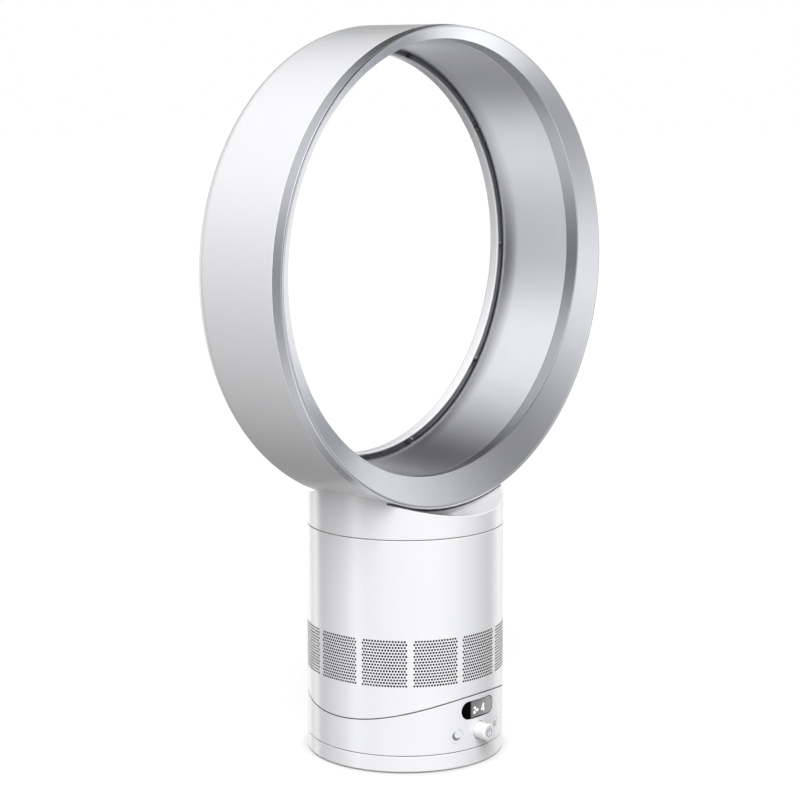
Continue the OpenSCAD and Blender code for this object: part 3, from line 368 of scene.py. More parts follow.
# a section from the names of each corner's radius, depth, axis, lean and rounding, where a dash is zero
def sectionOf(sizes, *rows):
    table = {**sizes, "-": 0}
    corners = ([table[name] for name in row.split()] for row in rows)
    return roundCorners([((r, y, axis, lean), bend) for r, y, axis, lean, bend in corners])


# a section of radius and depth, turned about the level axis at its own height and lean
def turnLevel(name, section, material, turns=288, sharp=35.0):
    verts = []
    for i in range(turns):
        a = 2 * pi * i / turns
        for r, y, z, lean in section:
            verts.append((r * cos(a), y - r * sin(a) * tan(radians(lean)), z + r * sin(a)))
    return makePiece(name, verts, gridFaces(turns, len(section)), material, sharp)


# painted shade: the end faces of a seam and the inside of the wall take the dark finish, for the shade in the
# gaps and inside the casing
def paintSeamShade(piece, levels, inside, boreTop=400.0, upright=0.9, boreBehind=1.4):
    mesh = piece.data
    if len(mesh.materials) < 2:
        mesh.materials.append(finishes["dark_plastic"])
    for face in mesh.polygons:
        radius = sqrt(face.center.x ** 2 + face.center.y ** 2) / mm
        high = face.center.z / mm
        inLevels = any(low < high < top for low, top in levels)
        inSeam = inLevels and radius < inside and abs(face.normal.z) > upright
        if inSeam or (radius < inside - boreBehind and high < boreTop):
            face.material_index = 1


# faces of a turned piece between two points of its section take a second finish
def paintSpans(piece, section, spans, material):
    piece.data.materials.append(material)
    for face in piece.data.polygons:
        if any(first <= face.index % len(section) < last for first, last in spans):
            face.material_index = 1


def settle(piece, body, slotName, *nodes):
    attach(piece, body)
    if nodes:
        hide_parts(*nodes)


# camera

view = {"place": (-1.1955, -1.0809, 0.5146), "turn": -47.746, "dip": 8.732, "roll": -0.040, "lens": 97.60,
        "sensor": 36, "reach": 60}


# looks along +Y when both are zero, turned about the upright axis and then dipped
def aimed(turn, dip):
    return Matrix.Rotation(radians(turn), 4, "Z") @ Matrix.Rotation(radians(90 - dip), 4, "X")


cameraData = bpy.data.cameras.new("camera")
cameraData.sensor_width = view["sensor"]
cameraData.lens = view["lens"]
cameraData.clip_end = view["reach"]
camera = placed("camera", cameraData)
camera.matrix_world = (Matrix.Translation(view["place"]) @ aimed(view["turn"], view["dip"])
                       @ Matrix.Rotation(radians(view["roll"]), 4, "Z"))
bpy.context.scene.camera = camera
bpy.context.scene.view_settings.view_transform = "Standard"
bpy.context.scene.view_settings.look = "None"
print("camera placed")


# main casing with its band of small holes

casing = {"outer": 74.5, "inner": 72.1, "top": 174.95, "seamAxis": 219.5, "seamRadius": 181.15,
          "round": 0.35, "support": 0.2, "shoulder": 1.2, "boreShare": 0.6,
          "belts": (110.0, 130.0, 150.0, 165.0), "panels": 12, "cells": 16, "cell": 1.692, "rows": 16,
          "rowPitch": 2.23, "low": 65.16, "hole": 0.86, "seams": [(30, 60), (174, 176)], "sharp": 50.0}


def seamHeight(r, angle, sizes):
    return sizes["seamAxis"] - sqrt(sizes["seamRadius"] ** 2 - (r * sin(radians(angle))) ** 2)


def casingAngles(sizes):
    gap = 360 / sizes["panels"] - sizes["cells"] * sizes["cell"]
    angles = []
    for panel in range(sizes["panels"]):
        start = -90 + panel * 360 / sizes["panels"] - sizes["cells"] * sizes["cell"] / 2
        angles += [start + half * sizes["cell"] / 2 for half in range(2 * sizes["cells"] + 1)]
        angles.append(start + sizes["cells"] * sizes["cell"] + gap / 2)
    return angles


def buildTile(sizes):
    half, rise = radians(sizes["cell"] / 2), sizes["rowPitch"] / 2
    rim = [(-1, -1), (0, -1), (1, -1), (1, 0), (1, 1), (0, 1), (-1, 1), (-1, 0)]
    verts = []
    for r in (sizes["outer"], sizes["inner"]):
        verts += [(r * cos(u * half), r * sin(u * half), v * rise) for u, v in rim]
        for k in range(8):
            a = radians(-135 + 45 * k)
            turn = asin(sizes["hole"] * cos(a) / r)
            verts.append((r * cos(turn), r * sin(turn), sizes["hole"] * sin(a)))
    faces = []
    for k in range(8):
        n = (k + 1) % 8
        faces += [(k, n, 8 + n, 8 + k), (8 + k, 8 + n, 24 + n, 24 + k), (24 + k, 24 + n, 16 + n, 16 + k)]
    mesh = meshOf("holeTile", verts, faces)
    # the middle face of each three is the wall of the hole
    inHole = mesh.attributes.new("inHole", "BOOLEAN", "FACE")
    inHole.data.foreach_set("value", [k % 3 == 1 for k in range(len(faces))])
    return placed("holeTile", mesh)


# one chain of points round the plain wall above or below the holes, each with its rounded edges
def plainChain(sizes, angle, up):
    r, outer, inner = sizes["round"], sizes["outer"], sizes["inner"]
    if up:
        start, top = sizes["low"] + sizes["rows"] * sizes["rowPitch"], sizes["top"]
        levels = [*sizes["belts"], top - 2 * r - sizes["support"]]
        edge = [(outer - r * inset, top - r * drop) for inset, drop in edgeArc]
        edge += [(inner + sizes["shoulder"], top), (inner + r * sizes["boreShare"], top),
                 (inner, top - r * sizes["boreShare"])]
    else:
        start, foot = sizes["low"], seamHeight(outer, angle, sizes)
        step = (start - foot) / 4
        levels = [foot + 3 * step, foot + 2 * step, foot + step, foot + 2 * r + sizes["support"]]
        ends = [(outer - r * inset, r * drop) for inset, drop in edgeArc]
        ends += [(inner + sizes["shoulder"], 0.0), (inner + r * sizes["boreShare"], 0.0),
                 (inner, r * sizes["boreShare"])]
        edge = [(radius, seamHeight(radius, angle, sizes) + lift) for radius, lift in ends]
    outside = [(outer, z) for z in (start, *levels)]
    return outside + edge + [(inner, z) for z in (*reversed(levels), start)]


# everything of the wall but the cells that carry a hole
def buildWall(sizes):
    angles = casingAngles(sizes)
    cols = len(angles)
    perPanel = 2 * sizes["cells"] + 2
    verts, faces, index = [], [], {}

    def vert(side, column, z):
        key = (side, column % cols, round(z, 4))
        if key not in index:
            index[key] = len(verts)
            verts.extend(standing([(sizes[side], z)], angles[column % cols]))
        return index[key]

    halfRows = [sizes["low"] + k * sizes["rowPitch"] / 2 for k in range(2 * sizes["rows"] + 1)]
    for column in range(cols):
        place = column % perPanel
        inGap = place >= perPanel - 2
        edge = place in (0, perPanel - 3)
        for side in ("outer", "inner"):
            for k, (low, high) in enumerate(zip(halfRows, halfRows[1:])):
                if inGap or (edge and (k // 2) % 2 == 1):
                    faces.append((vert(side, column, low), vert(side, column + 1, low),
                                  vert(side, column + 1, high), vert(side, column, high)))
    for column in range(cols):
        for up in (False, True):
            first = len(verts)
            for c in (column, column + 1):
                verts += standing(plainChain(sizes, angles[c % cols], up), angles[c % cols])
            count = (len(verts) - first) // 2
            faces += [(k, k + 1, count + k + 1, count + k) for k in range(first, first + count - 1)]
    return placed("casingWall", meshOf("casingWall", verts, faces))


# points are counted off into panels and staggered rows, and each takes one tile
def buildHoleTree():
    tree = bpy.data.node_groups.new("holeBand", "GeometryNodeTree")
    addSockets(tree, "INPUT", Geometry="Wall", Object="Tile", Material="Material, Hole Material",
               Int="Panels, Cells, Rows", Float="Cell Angle, Row Pitch, Low")
    addSockets(tree, "OUTPUT", Geometry="Casing")
    add = partial(addNode, tree)
    given = add("NodeGroupInput").outputs
    panels, cells, rows = given["Panels"], given["Cells"], given["Rows"]
    pairTiles = minus(times(cells, 2.0), 1.0)
    panelTiles = times(pairTiles, over(rows, 2.0))
    count = times(panelTiles, panels)
    index = add("GeometryNodeInputIndex").outputs[0]
    panel = calc("FLOOR", over(index, panelTiles))
    inPanel = minus(index, times(panel, panelTiles))
    pair = calc("FLOOR", over(inPanel, pairTiles))
    inPair = minus(inPanel, times(pair, pairTiles))
    odd = calc("GREATER_THAN", inPair, minus(cells, 0.5))
    column = minus(inPair, times(odd, cells))
    shift = minus(times(odd, 0.5), over(minus(cells, 1.0), 2.0))
    inside = times(plus(column, shift), given["Cell Angle"])
    whole = times(panel, over(2 * pi, panels))
    angle = plus(minus(whole, pi / 2), inside)
    row = plus(plus(times(pair, 2.0), odd), 0.5)
    height = plus(given["Low"], times(row, given["Row Pitch"]))
    line = add("GeometryNodeMeshLine", Count=count)
    place = add("ShaderNodeCombineXYZ", Z=height)
    spots = add("GeometryNodeSetPosition", Geometry=line, Position=place)
    turn = add("ShaderNodeCombineXYZ", Z=angle)
    tile = add("GeometryNodeObjectInfo", Object=given["Tile"]).outputs["Geometry"]
    copies = add("GeometryNodeInstanceOnPoints", Points=spots, Instance=tile, Rotation=turn)
    joined = add("GeometryNodeJoinGeometry", i0=add("GeometryNodeRealizeInstances", i0=copies))
    tree.links.new(given["Wall"], joined.inputs[0])
    merged = add("GeometryNodeMergeByDistance", Geometry=joined, Distance=mergeWithin)
    real = add("GeometryNodeRealizeInstances", i0=merged)
    painted = add("GeometryNodeSetMaterial", Geometry=real, Material=given["Material"])
    # painted shade: the walls of the holes take the dark finish
    inHole = add("GeometryNodeInputNamedAttribute", {"data_type": "BOOLEAN"}, Name="inHole")
    shadedHoles = add("GeometryNodeSetMaterial", Geometry=painted, Selection=inHole.outputs["Attribute"],
                   Material=given["Hole Material"])
    add("NodeGroupOutput", i0=shadedHoles)
    return tree


holeTree = buildHoleTree()
wallObject, tileObject = buildWall(casing), buildTile(casing)
holeModifier = wallObject.modifiers.new("holeBand", "NODES")
holeModifier.node_group = holeTree
holeInputs = {"Tile": tileObject, "Material": finishes["white_shell"],
              "Hole Material": finishes["dark_plastic"], "Panels": casing["panels"],
              "Cells": casing["cells"], "Rows": casing["rows"], "Cell Angle": radians(casing["cell"]),
              "Row Pitch": casing["rowPitch"] * mm, "Low": casing["low"] * mm}
for item in holeTree.interface.items_tree:
    if item.in_out == "INPUT" and item.name in holeInputs:
        holeModifier[item.identifier] = holeInputs[item.name]
casingMesh = modifiedMesh("mainCasing", wallObject)
finishMesh(casingMesh, casing["sharp"])
mainCasing = placed("mainCasing", casingMesh)
for spare in (wallObject, tileObject):
    bpy.data.objects.remove(spare)
# painted shade on the seam faces and on the inside of the wall
paintSeamShade(mainCasing, casing["seams"], casing["outer"] - casing["round"])
settle(mainCasing, "upper_body", "white_shell", "main_casing")
print("main casing", len(casingMesh.polygons))


def standingWall(name, section, angles):
    verts = [point for angle in angles for point in standing(section(angle), angle)]
    return makePiece(name, verts, gridFaces(len(angles), len(section(0))), finishes["white_shell"])


# normals of the turned wall are set outwards again after the cuts
def cutWall(name, section, sizes, cutters, levelWithin=0.02, wallWithin=6e-6, outwardShare=0.9):
    piece = standingWall(name, section, [360 * i / sizes["turns"] for i in range(sizes["turns"])])
    for cutter in cutters:
        cut = piece.modifiers.new("cut", "BOOLEAN")
        cut.operation = "DIFFERENCE"
        cut.solver = "EXACT"
        cut.object = cutter
    mesh = modifiedMesh(name, piece)
    old = piece.data
    piece.modifiers.clear()
    piece.data = mesh
    bpy.data.meshes.remove(old)
    for cutter in cutters:
        bpy.data.objects.remove(cutter)
    mesh.shade_smooth()
    mesh.set_sharp_from_angle(angle=radians(35))
    normals = [tuple(corner.vector) for corner in mesh.corner_normals]
    outer = sizes["outer"] * mm
    for face in mesh.polygons:
        level = abs(face.normal.z) < levelWithin
        for loop in face.loop_indices:
            x, y, z = mesh.vertices[mesh.loops[loop].vertex_index].co
            outwards = face.normal.x * x + face.normal.y * y > outwardShare * outer
            if level and outwards and abs(sqrt(x * x + y * y) - outer) < wallWithin:
                normals[loop] = (x / outer, y / outer, 0.0)
    mesh.normals_split_custom_set(normals)
    return piece


def prism(name, outline, front, back):
    count = len(outline)
    verts = [(x, y, z) for y in (front, back) for x, z in outline]
    faces = [(i, (i + 1) % count, count + (i + 1) % count, count + i) for i in range(count)]
    faces += [tuple(reversed(range(count))), tuple(range(count, 2 * count))]
    return makePiece(name, verts, faces, finishes["white_shell"])


def pill(halfLength, radius, middle, steps=24):
    points = []
    for side, start in ((1, -90), (-1, 90)):
        for k in range(steps + 1):
            a = radians(start + 180 * k / steps)
            points.append((side * (halfLength - radius) + radius * cos(a), middle + radius * sin(a)))
    return points


def disc(x, z, radius, steps=48):
    return [(x + radius * cos(2 * pi * k / steps), z + radius * sin(2 * pi * k / steps)) for k in range(steps)]


# control casing with its openings

control = {"outer": 74.5, "inner": 72.1, "low": 13.35, "seamAxis": 219.5, "seamRadius": 181.65, "round": 0.35,
           "support": 0.2, "boreShare": 0.6, "turns": 360, "windowGap": 0.1, "knobHole": 6.9,
           "knobHeight": 26.0, "buttonHole": 5.6, "buttonAt": 22.0, "buttonHeight": 25.2, "cutFrom": -85,
           "cutTo": -60, "lowSeam": (13, 14.2), "wavySeam": (36, 60), "wavyShare": 0.2, "wavyUpright": 0.4}


def controlSection(angle):
    r, outer, inner, low = control["round"], control["outer"], control["inner"], control["low"]
    bore, support = r * control["boreShare"], control["support"]
    top = seamHeight(outer, angle, control)
    chain = [(inner, low + bore), (inner + bore, low), (outer - 2 * r, low)]
    chain += [(outer - r * inset, low + r * drop) for inset, drop in reversed(edgeArc)]
    chain += [(outer, z) for z in (low + r + support, low + (top - low) / 2, top - r - support)]
    ends = [(outer - r * inset, r * drop) for inset, drop in edgeArc]
    ends += [(outer - 2 * r, 0.0), (inner + bore, 0.0), (inner, bore)]
    return chain + [(radius, seamHeight(radius, angle, control) - drop) for radius, drop in ends]


openings = [("windowCut", pill(window["halfWidth"] + control["windowGap"],
                               window["halfHeight"] + control["windowGap"], window["middle"])),
            ("knobCut", disc(0, control["knobHeight"], control["knobHole"]))]
openings += [("buttonCut", disc(side * control["buttonAt"], control["buttonHeight"], control["buttonHole"]))
             for side in (-1, 1)]
controlCutters = [prism(name, outline, control["cutFrom"], control["cutTo"]) for name, outline in openings]
controlCasing = cutWall("controlCasing", controlSection, control, controlCutters)
# painted shade on the faces of the low and the wavy seam and on the inside of the wall
paintSeamShade(controlCasing, [control["lowSeam"]], control["outer"] - control["round"])
paintSeamShade(controlCasing, [control["wavySeam"]], control["outer"] - control["wavyShare"] * control["round"],
            upright=control["wavyUpright"])
settle(controlCasing, "lower_body", "white_shell", "control_casing")

# foot

foot = {"outer": 74.5, "inner": 72.1, "low": 1.0, "top": 12.85, "deck": 10.65, "well": 46.0, "chamfer": 0.7,
        "topRound": 0.4, "round": 0.3, "socketHole": 4.1, "socketHeight": 6.7, "cutFrom": 60, "cutTo": 85,
        "turns": 360, "seam": (12, 13), "seamIn": 0.5}


def footSection(angle):
    return roundCorners([
        ((foot["inner"], foot["low"]), foot["round"]), ((foot["outer"], foot["low"]), foot["chamfer"]),
        ((foot["outer"], foot["top"]), foot["topRound"]), ((foot["well"], foot["top"]), foot["round"]),
        ((foot["well"], foot["deck"]), foot["round"]), ((foot["inner"], foot["deck"]), foot["round"])])


socketCutter = prism("socketCut", disc(0, foot["socketHeight"], foot["socketHole"]), foot["cutFrom"],
                     foot["cutTo"])
footWall = cutWall("footWall", footSection, foot, [socketCutter])
# painted shade on the seam faces and on the inside of the wall
paintSeamShade(footWall, [foot["seam"]], foot["outer"] - foot["seamIn"])
settle(footWall, "base", "white_shell", "foot_shell")
print("casings", len(controlCasing.data.polygons), len(footWall.data.polygons))

# loop: white shell

ring = {"axis": 368.0, "outer": 177.2, "front": -39.3, "frontRound": 0.3, "backCorner": 36.49,
        "backRound": 12.7, "flatAxis": 370.95, "flat": 157.85, "back": 45.52, "flatLean": 0.5,
        "flatRound": 5.0, "flatBehind": 0.6, "flatDeeper": 0.1, "cornerBehind": 1.35, "lipAxis": 374.5,
        "lip": 151.3, "lipRound": 3.0, "lipFront": 36.5, "lipWall": 2.1, "lipEdge": 0.8, "hollowRound": 1.0,
        "wall": 2.2, "hollowBehind": 0.5}
ring.update(inner=ring["outer"] - ring["wall"], lipOuter=ring["lip"] + ring["lipWall"],
            backIn=ring["back"] - ring["wall"], flatOut=ring["flat"] + ring["flatBehind"],
            cornerIn=ring["backCorner"] - ring["cornerBehind"], roundIn=ring["backRound"] - ring["wall"])
ring["flatIn"] = ring["backIn"] - ring["flatDeeper"]
ringSection = sectionOf(
    ring, "outer front axis - frontRound", "outer backCorner axis - backRound",
    "flat back flatAxis flatLean flatRound", "lip back lipAxis flatLean lipRound",
    "lip lipFront lipAxis - lipEdge", "lipOuter lipFront lipAxis - lipEdge",
    "lipOuter backIn lipAxis flatLean hollowRound", "flatOut flatIn flatAxis flatLean -",
    "inner cornerIn axis - roundIn", "inner front axis - -")
ringShell = turnLevel("ringShell", ringSection, finishes["white_shell"])
# painted shade: the hollow behind the slot takes a grey finish for the shade in it
slotShadeFrom = next(index for index, point in enumerate(ringSection) if abs(point[0] - ring["lipOuter"]) < nearly
                  and point[1] > ring["lipFront"] + ring["hollowBehind"])
paintSpans(ringShell, ringSection, [(slotShadeFrom, len(ringSection) - 1)], finishes["slot_hollow_shade"])

# loop: neck

neck = {"outer": 74.5, "inner": 72.1, "low": 175.45, "axis": 368.0, "shelf": 178.2, "roof": 180.4,
        "rise": 176.1, "round": 0.6, "support": 0.2, "lowRound": 0.5, "lowSupport": 0.7, "lowFlat": 1.0,
        "boreRound": 0.3, "boreIn": 0.1, "stepFront": -39.3, "stepBack": 28.4, "stepClear": 0.4,
        "stepHalf": 0.02, "roofRadii": (68, 62, 56, 50, 44, 38, 32, 26, 20, 14, 8, 3), "seam": (175, 176),
        "seamIn": 0.5, "boreTop": 1.0}


def saddleHeight(r, angle, radius):
    return neck["axis"] - sqrt(radius ** 2 - (r * cos(radians(angle))) ** 2)


def neckAngles():
    steps = []
    for y in (neck["stepFront"], neck["stepBack"]):
        turn = degrees(asin(y / neck["outer"]))
        steps += [turn % 360, (180 - turn) % 360]
    angles = [float(a) for a in range(360) if all(abs(a - step) > neck["stepClear"] for step in steps)]
    angles += [step + d for step in steps for d in (-neck["stepHalf"], neck["stepHalf"])]
    return sorted(angles)


def neckSection(angle):
    r, outer, inner, low = neck["round"], neck["outer"], neck["inner"], neck["low"]
    lowRound, boreRound = neck["lowRound"], neck["boreRound"]
    y = outer * sin(radians(angle))
    edge = neck["rise"] if neck["stepFront"] < y < neck["stepBack"] else neck["shelf"]
    chain = [(inner, low + boreRound), (inner + boreRound, low), (outer - neck["lowFlat"], low)]
    chain += [(outer - lowRound * inset, low + lowRound * drop) for inset, drop in reversed(edgeArc)]
    top = saddleHeight(outer, angle, edge)
    chain += [(outer, z) for z in (low + neck["lowSupport"], low + (top - low) / 2, top - r - neck["support"])]
    ends = [(outer - r * inset, r * drop) for inset, drop in edgeArc] + [(inner + neck["boreIn"], 0.0)]
    chain += [(radius, saddleHeight(radius, angle, edge) - drop) for radius, drop in ends]
    spots = (inner, *neck["roofRadii"])
    chain += [(radius, saddleHeight(radius, angle, neck["shelf"])) for radius in spots]
    chain += [(0.0, neck["axis"] - neck["shelf"]), (0.0, neck["axis"] - neck["roof"])]
    return chain + [(radius, saddleHeight(radius, angle, neck["roof"])) for radius in reversed(spots)]


neckShell = standingWall("neckShell", neckSection, neckAngles())
# painted shade on the seam faces and on the bore just above them
paintSeamShade(neckShell, [neck["seam"]], neck["outer"] - neck["seamIn"], neck["low"] + neck["boreTop"])
for piece in (ringShell, neckShell):
    settle(piece, "upper_body", "white_shell", "loop_shell")

# loop: silver bezel and inner wall

bezel = {"outer": 177.2, "seat": ring["front"], "axis": 368.0, "outerRound": 0.3, "edge": 176.1,
         "edgeRound": 1.2, "front": -49.0, "inner": 160.3, "innerAxis": 374.5, "innerFront": -38.1,
         "innerRound": 0.8, "lean": 1.1, "innerBack": -27.0, "backRound": 0.25, "innerOut": 162.5,
         "wall": 1.4, "behind": 171.4, "behindFront": -43.5, "behindAxis": 369.6, "behindLean": 0.28,
         "rim": 174.9, "rimIn": 173.4, "rimFront": -43.8, "rimBack": -33.0, "flankFront": 1.5,
         "flankBack": 0.6, "flankIn": 0.5, "flankWithin": 0.02}
bezel["innerDeep"] = bezel["innerFront"] + bezel["wall"]
bezelSection = sectionOf(
    bezel, "outer seat axis - outerRound", "edge front axis - edgeRound",
    "inner innerFront innerAxis lean innerRound", "inner innerBack innerAxis - backRound",
    "innerOut innerBack innerAxis - -", "innerOut innerDeep innerAxis lean -",
    "behind behindFront behindAxis behindLean -", "rimIn rimFront axis - -", "rimIn rimBack axis - -",
    "rim rimBack axis - -", "rim seat axis - -")
loopBezel = turnLevel("loopBezel", bezelSection, finishes["silver_trim"])
# painted shade: the outer and the inner flank take a darker copy of the silver than the front
outerFlank = [index for index, (radius, depth, _, _) in enumerate(bezelSection) if radius > bezel["edge"]
              and bezel["front"] + bezel["flankFront"] < depth <= bezel["seat"] + bezel["flankBack"]]
innerFlank = [index for index, (radius, depth, _, _) in enumerate(bezelSection)
              if depth > bezel["innerFront"] + bezel["flankIn"]
              and abs(radius - bezel["inner"]) < bezel["flankWithin"]]
paintSpans(loopBezel, bezelSection, [(flank[0], flank[-1]) for flank in (outerFlank, innerFlank)],
           finishes["silver_flank_shade"])
settle(loopBezel, "upper_body", "silver_trim", "loop_bezel")

guide = {"axis": 374.5, "front": -27.0, "frontInner": 160.3, "frontRound": 0.25, "waist": 155.1,
         "waistAt": 27.0, "waistRound": 80.0, "backInner": 156.3, "nose": 38.0, "round": 3.2,
         "noseOut": 160.2, "noseRound": 0.6, "wall": 2.2, "wallRound": 1.2, "frontOuter": 162.5}
guide.update(noseIn=guide["nose"] - guide["wall"], backOut=guide["backInner"] + guide["wall"],
             waistOut=guide["waist"] + guide["wall"])
guideSection = sectionOf(
    guide, "frontInner front axis - frontRound", "waist waistAt axis - waistRound",
    "backInner nose axis - round", "noseOut nose axis - noseRound", "noseOut noseIn axis - noseRound",
    "backOut noseIn axis - wallRound", "waistOut waistAt axis - -", "frontOuter front axis - -")
innerWall = turnLevel("innerWall", guideSection, finishes["silver_trim"])
settle(innerWall, "upper_body", "silver_trim", "loop_inner_wall")
print("loop made")


# window, buttons and knob

# a plate with an upright outline that follows the casing's curve in front
def curvedPlate(name, outlineAt, sizes, material, sharp=40.0, apart=5):
    front, edge = sizes["front"], sizes["edge"]
    rings = [(0.0, sizes["back"]), (0.0, front - edge)]
    rings += [(edge * inset, front - edge * drop) for inset, drop in edgeArc[1:]]
    rings += [(inset, front) for inset in sizes["insets"]]
    count = len(outlineAt(0.0))
    verts = []
    for inset, radius in rings:
        verts += [(x, -sqrt(radius ** 2 - x * x), z) for x, z in outlineAt(inset)]
    faces = []
    for k in range(len(rings) - 1):
        for i in range(count):
            n = (i + 1) % count
            faces.append((k * count + i, k * count + n, (k + 1) * count + n, (k + 1) * count + i))
    # both ends are closed in strips that join points of the same x
    for k in (0, len(rings) - 1):
        first = k * count
        columns = {}
        for i in sorted(range(first, first + count), key=lambda i: (round(verts[i][0], apart), verts[i][2])):
            columns.setdefault(round(verts[i][0], apart), []).append(i)
        ordered = [(column[0], column[-1]) for column in columns.values()]
        for (a, b), (c, d) in zip(ordered, ordered[1:]):
            corners = []
            for i in (a, b, d, c):
                if i not in corners:
                    corners.append(i)
            faces.append(tuple(corners))
    return makePiece(name, verts, faces, material, sharp)


def windowOutline(inset):
    return pill(window["halfWidth"] - inset, window["halfHeight"] - inset, window["middle"], window["steps"])


displayWindow = curvedPlate("displayWindow", windowOutline, window, finishes["window"])
settle(displayWindow, "lower_body", "window", "display_window")

button = {"radius": 5.5, "front": 74.4, "back": 70.0, "edge": 0.35, "steps": 64,
          "insets": (0.6, 1.2, 2.2, 3.2, 4.2, 5.0, 5.4)}
for side, label, body in ((-1, "sleepButton", "sleep_button"), (1, "oscillationButton", "oscillation_button")):
    def buttonOutline(inset):
        return disc(side * control["buttonAt"], control["buttonHeight"], button["radius"] - inset,
                    button["steps"])

    cap = curvedPlate(label, buttonOutline, button, finishes["white_shell"])
    settle(cap, body, "white_shell", body)

knob = {"radius": 6.5, "front": -84.5, "back": -71.0, "backRound": 0.4, "height": 26.0, "round": 1.25,
        "dish": 0.4, "sphere": 22.0, "flatFrom": 0.35, "rimOut": 0.5, "rimIn": 0.2, "rimDrop": 0.004,
        "dishShares": (0.97, 0.85, 0.7, 0.5, 0.3, 0.1), "roundSteps": 6, "turns": 96, "sharp": 40.0}
dishRim = sqrt(knob["sphere"] ** 2 - (knob["sphere"] - knob["dish"]) ** 2)


def dishDepth(r):
    return max(0.0, sqrt(knob["sphere"] ** 2 - min(r, dishRim) ** 2) - (knob["sphere"] - knob["dish"]))


def knobSection():
    front = knob["front"]
    corners = [((0.0, knob["back"]), 0), ((knob["radius"], knob["back"]), knob["backRound"]),
               ((knob["radius"], front), knob["round"]), ((dishRim + knob["flatFrom"], front), 0)]
    section = roundCorners(corners, knob["roundSteps"])[:-1]
    section += [(dishRim + knob["rimOut"], front), (dishRim + knob["rimIn"], front + knob["rimDrop"])]
    section += [(dishRim * share, front + dishDepth(dishRim * share)) for share in knob["dishShares"]]
    section.append((0.0, front + knob["dish"]))
    return [(r, y, knob["height"], 0) for r, y in section]


knobPiece = turnLevel("controlKnob", knobSection(), finishes["white_shell"], knob["turns"], knob["sharp"])
settle(knobPiece, "control_knob", "white_shell", "control_knob")
print("controls made")


# printed and lit marks

# closed thin plates from pairs of edge points, laid a hair above the surface they follow
def inkMarks(name, strips, depthAt, material, lift=0.03, sharp=30.0):
    verts, faces = [], []
    for strip in strips:
        first = len(verts)
        for pair in strip:
            for x, z in pair:
                verts.append((x, depthAt(x, z) - lift, z))
            for x, z in pair:
                verts.append((x, depthAt(x, z) + lift, z))
        last = first + 4 * (len(strip) - 1)
        for k in range(first, last, 4):
            faces += [(k, k + 1, k + 5, k + 4), (k + 2, k + 6, k + 7, k + 3),
                      (k, k + 4, k + 6, k + 2), (k + 1, k + 3, k + 7, k + 5)]
        faces += [(first, first + 2, first + 3, first + 1), (last, last + 1, last + 3, last + 2)]
    return makePiece(name, verts, faces, material, sharp)


def arcStrip(x, z, radius, width, start, end, steps=28):
    strip = []
    for k in range(steps + 1):
        a = radians(start + (end - start) * k / steps)
        strip.append(tuple((x + r * cos(a), z + r * sin(a)) for r in (radius - width / 2, radius + width / 2)))
    return strip


def barStrip(x1, z1, x2, z2, width, steps=4):
    length = sqrt((x2 - x1) ** 2 + (z2 - z1) ** 2)
    nx, nz = -(z2 - z1) / length * width / 2, (x2 - x1) / length * width / 2
    strip = []
    for k in range(steps + 1):
        t = k / steps
        x, z = x1 + (x2 - x1) * t, z1 + (z2 - z1) * t
        strip.append(((x - nx, z - nz), (x + nx, z + nz)))
    return strip


def onCasing(radius):
    return lambda x, z: -sqrt(radius ** 2 - x * x)


# bars of the digit: both ends from its middle, then the width
digit = {"x": 4.4, "z": 42.2, "lift": 0.025,
         "bars": ((0.75, 3.3, -1.95, -1.25, 0.95), (-2.3, -1.25, 2.1, -1.25, 0.8),
                  (0.95, 3.3, 0.95, -3.3, 0.8))}
fanSign = {"x": -4.1, "z": 42.0, "hub": 0.35, "size": 3.1, "turns": (95, 215, 335), "steps": 12, "narrow": 8,
           "swell": 30, "swellFrom": 0.15, "swellOver": 0.72, "power": 1.2, "tipFrom": 0.9, "tip": 0.86,
           "sweep": 26}
blades = []
for turn in fanSign["turns"]:
    strip = []
    for k in range(fanSign["steps"] + 1):
        t = k / fanSign["steps"]
        r = fanSign["hub"] + (fanSign["size"] - fanSign["hub"]) * t
        swell = sin(pi * (fanSign["swellFrom"] + fanSign["swellOver"] * t)) ** fanSign["power"]
        half = radians(fanSign["narrow"] + fanSign["swell"] * swell)
        half *= 1.0 if t < fanSign["tipFrom"] else fanSign["tip"]
        middle = radians(turn + fanSign["sweep"] * t)
        strip.append([(fanSign["x"] + r * cos(a), fanSign["z"] + r * sin(a))
                      for a in (middle - half, middle + half)])
    blades.append(strip)
bars = [barStrip(digit["x"] + x1, digit["z"] + z1, digit["x"] + x2, digit["z"] + z2, width)
        for x1, z1, x2, z2, width in digit["bars"]]
litMarks = inkMarks("litMarks", blades + bars, onCasing(window["front"]), glowFinish, digit["lift"])
settle(litMarks, "lower_body", "window")

moonSign = {"rise": 0.2, "radius": 3.5, "tilt": 42, "shift": 0.46, "second": 0.84, "tip": 0.004, "steps": 36}


# the lune between a disc and a second disc moved towards the upper right
def crescent(x, z, sizes):
    radius, tilt = sizes["radius"], radians(sizes["tilt"])
    shift, second = sizes["shift"] * radius, sizes["second"] * radius
    strip = []
    meet = acos((shift ** 2 + radius ** 2 - second ** 2) / (2 * shift * radius))
    meetInner = acos((shift ** 2 + second ** 2 - radius ** 2) / (2 * shift * second))
    innerX, innerZ = x + shift * cos(tilt), z + shift * sin(tilt)
    for k in range(sizes["steps"] + 1):
        t = sizes["tip"] + (1 - 2 * sizes["tip"]) * k / sizes["steps"]
        a = tilt + meet + (2 * pi - 2 * meet) * t
        b = tilt + (pi - meetInner) + 2 * meetInner * t
        strip.append(((innerX + second * cos(b), innerZ + second * sin(b)),
                      (x + radius * cos(a), z + radius * sin(a))))
    return strip


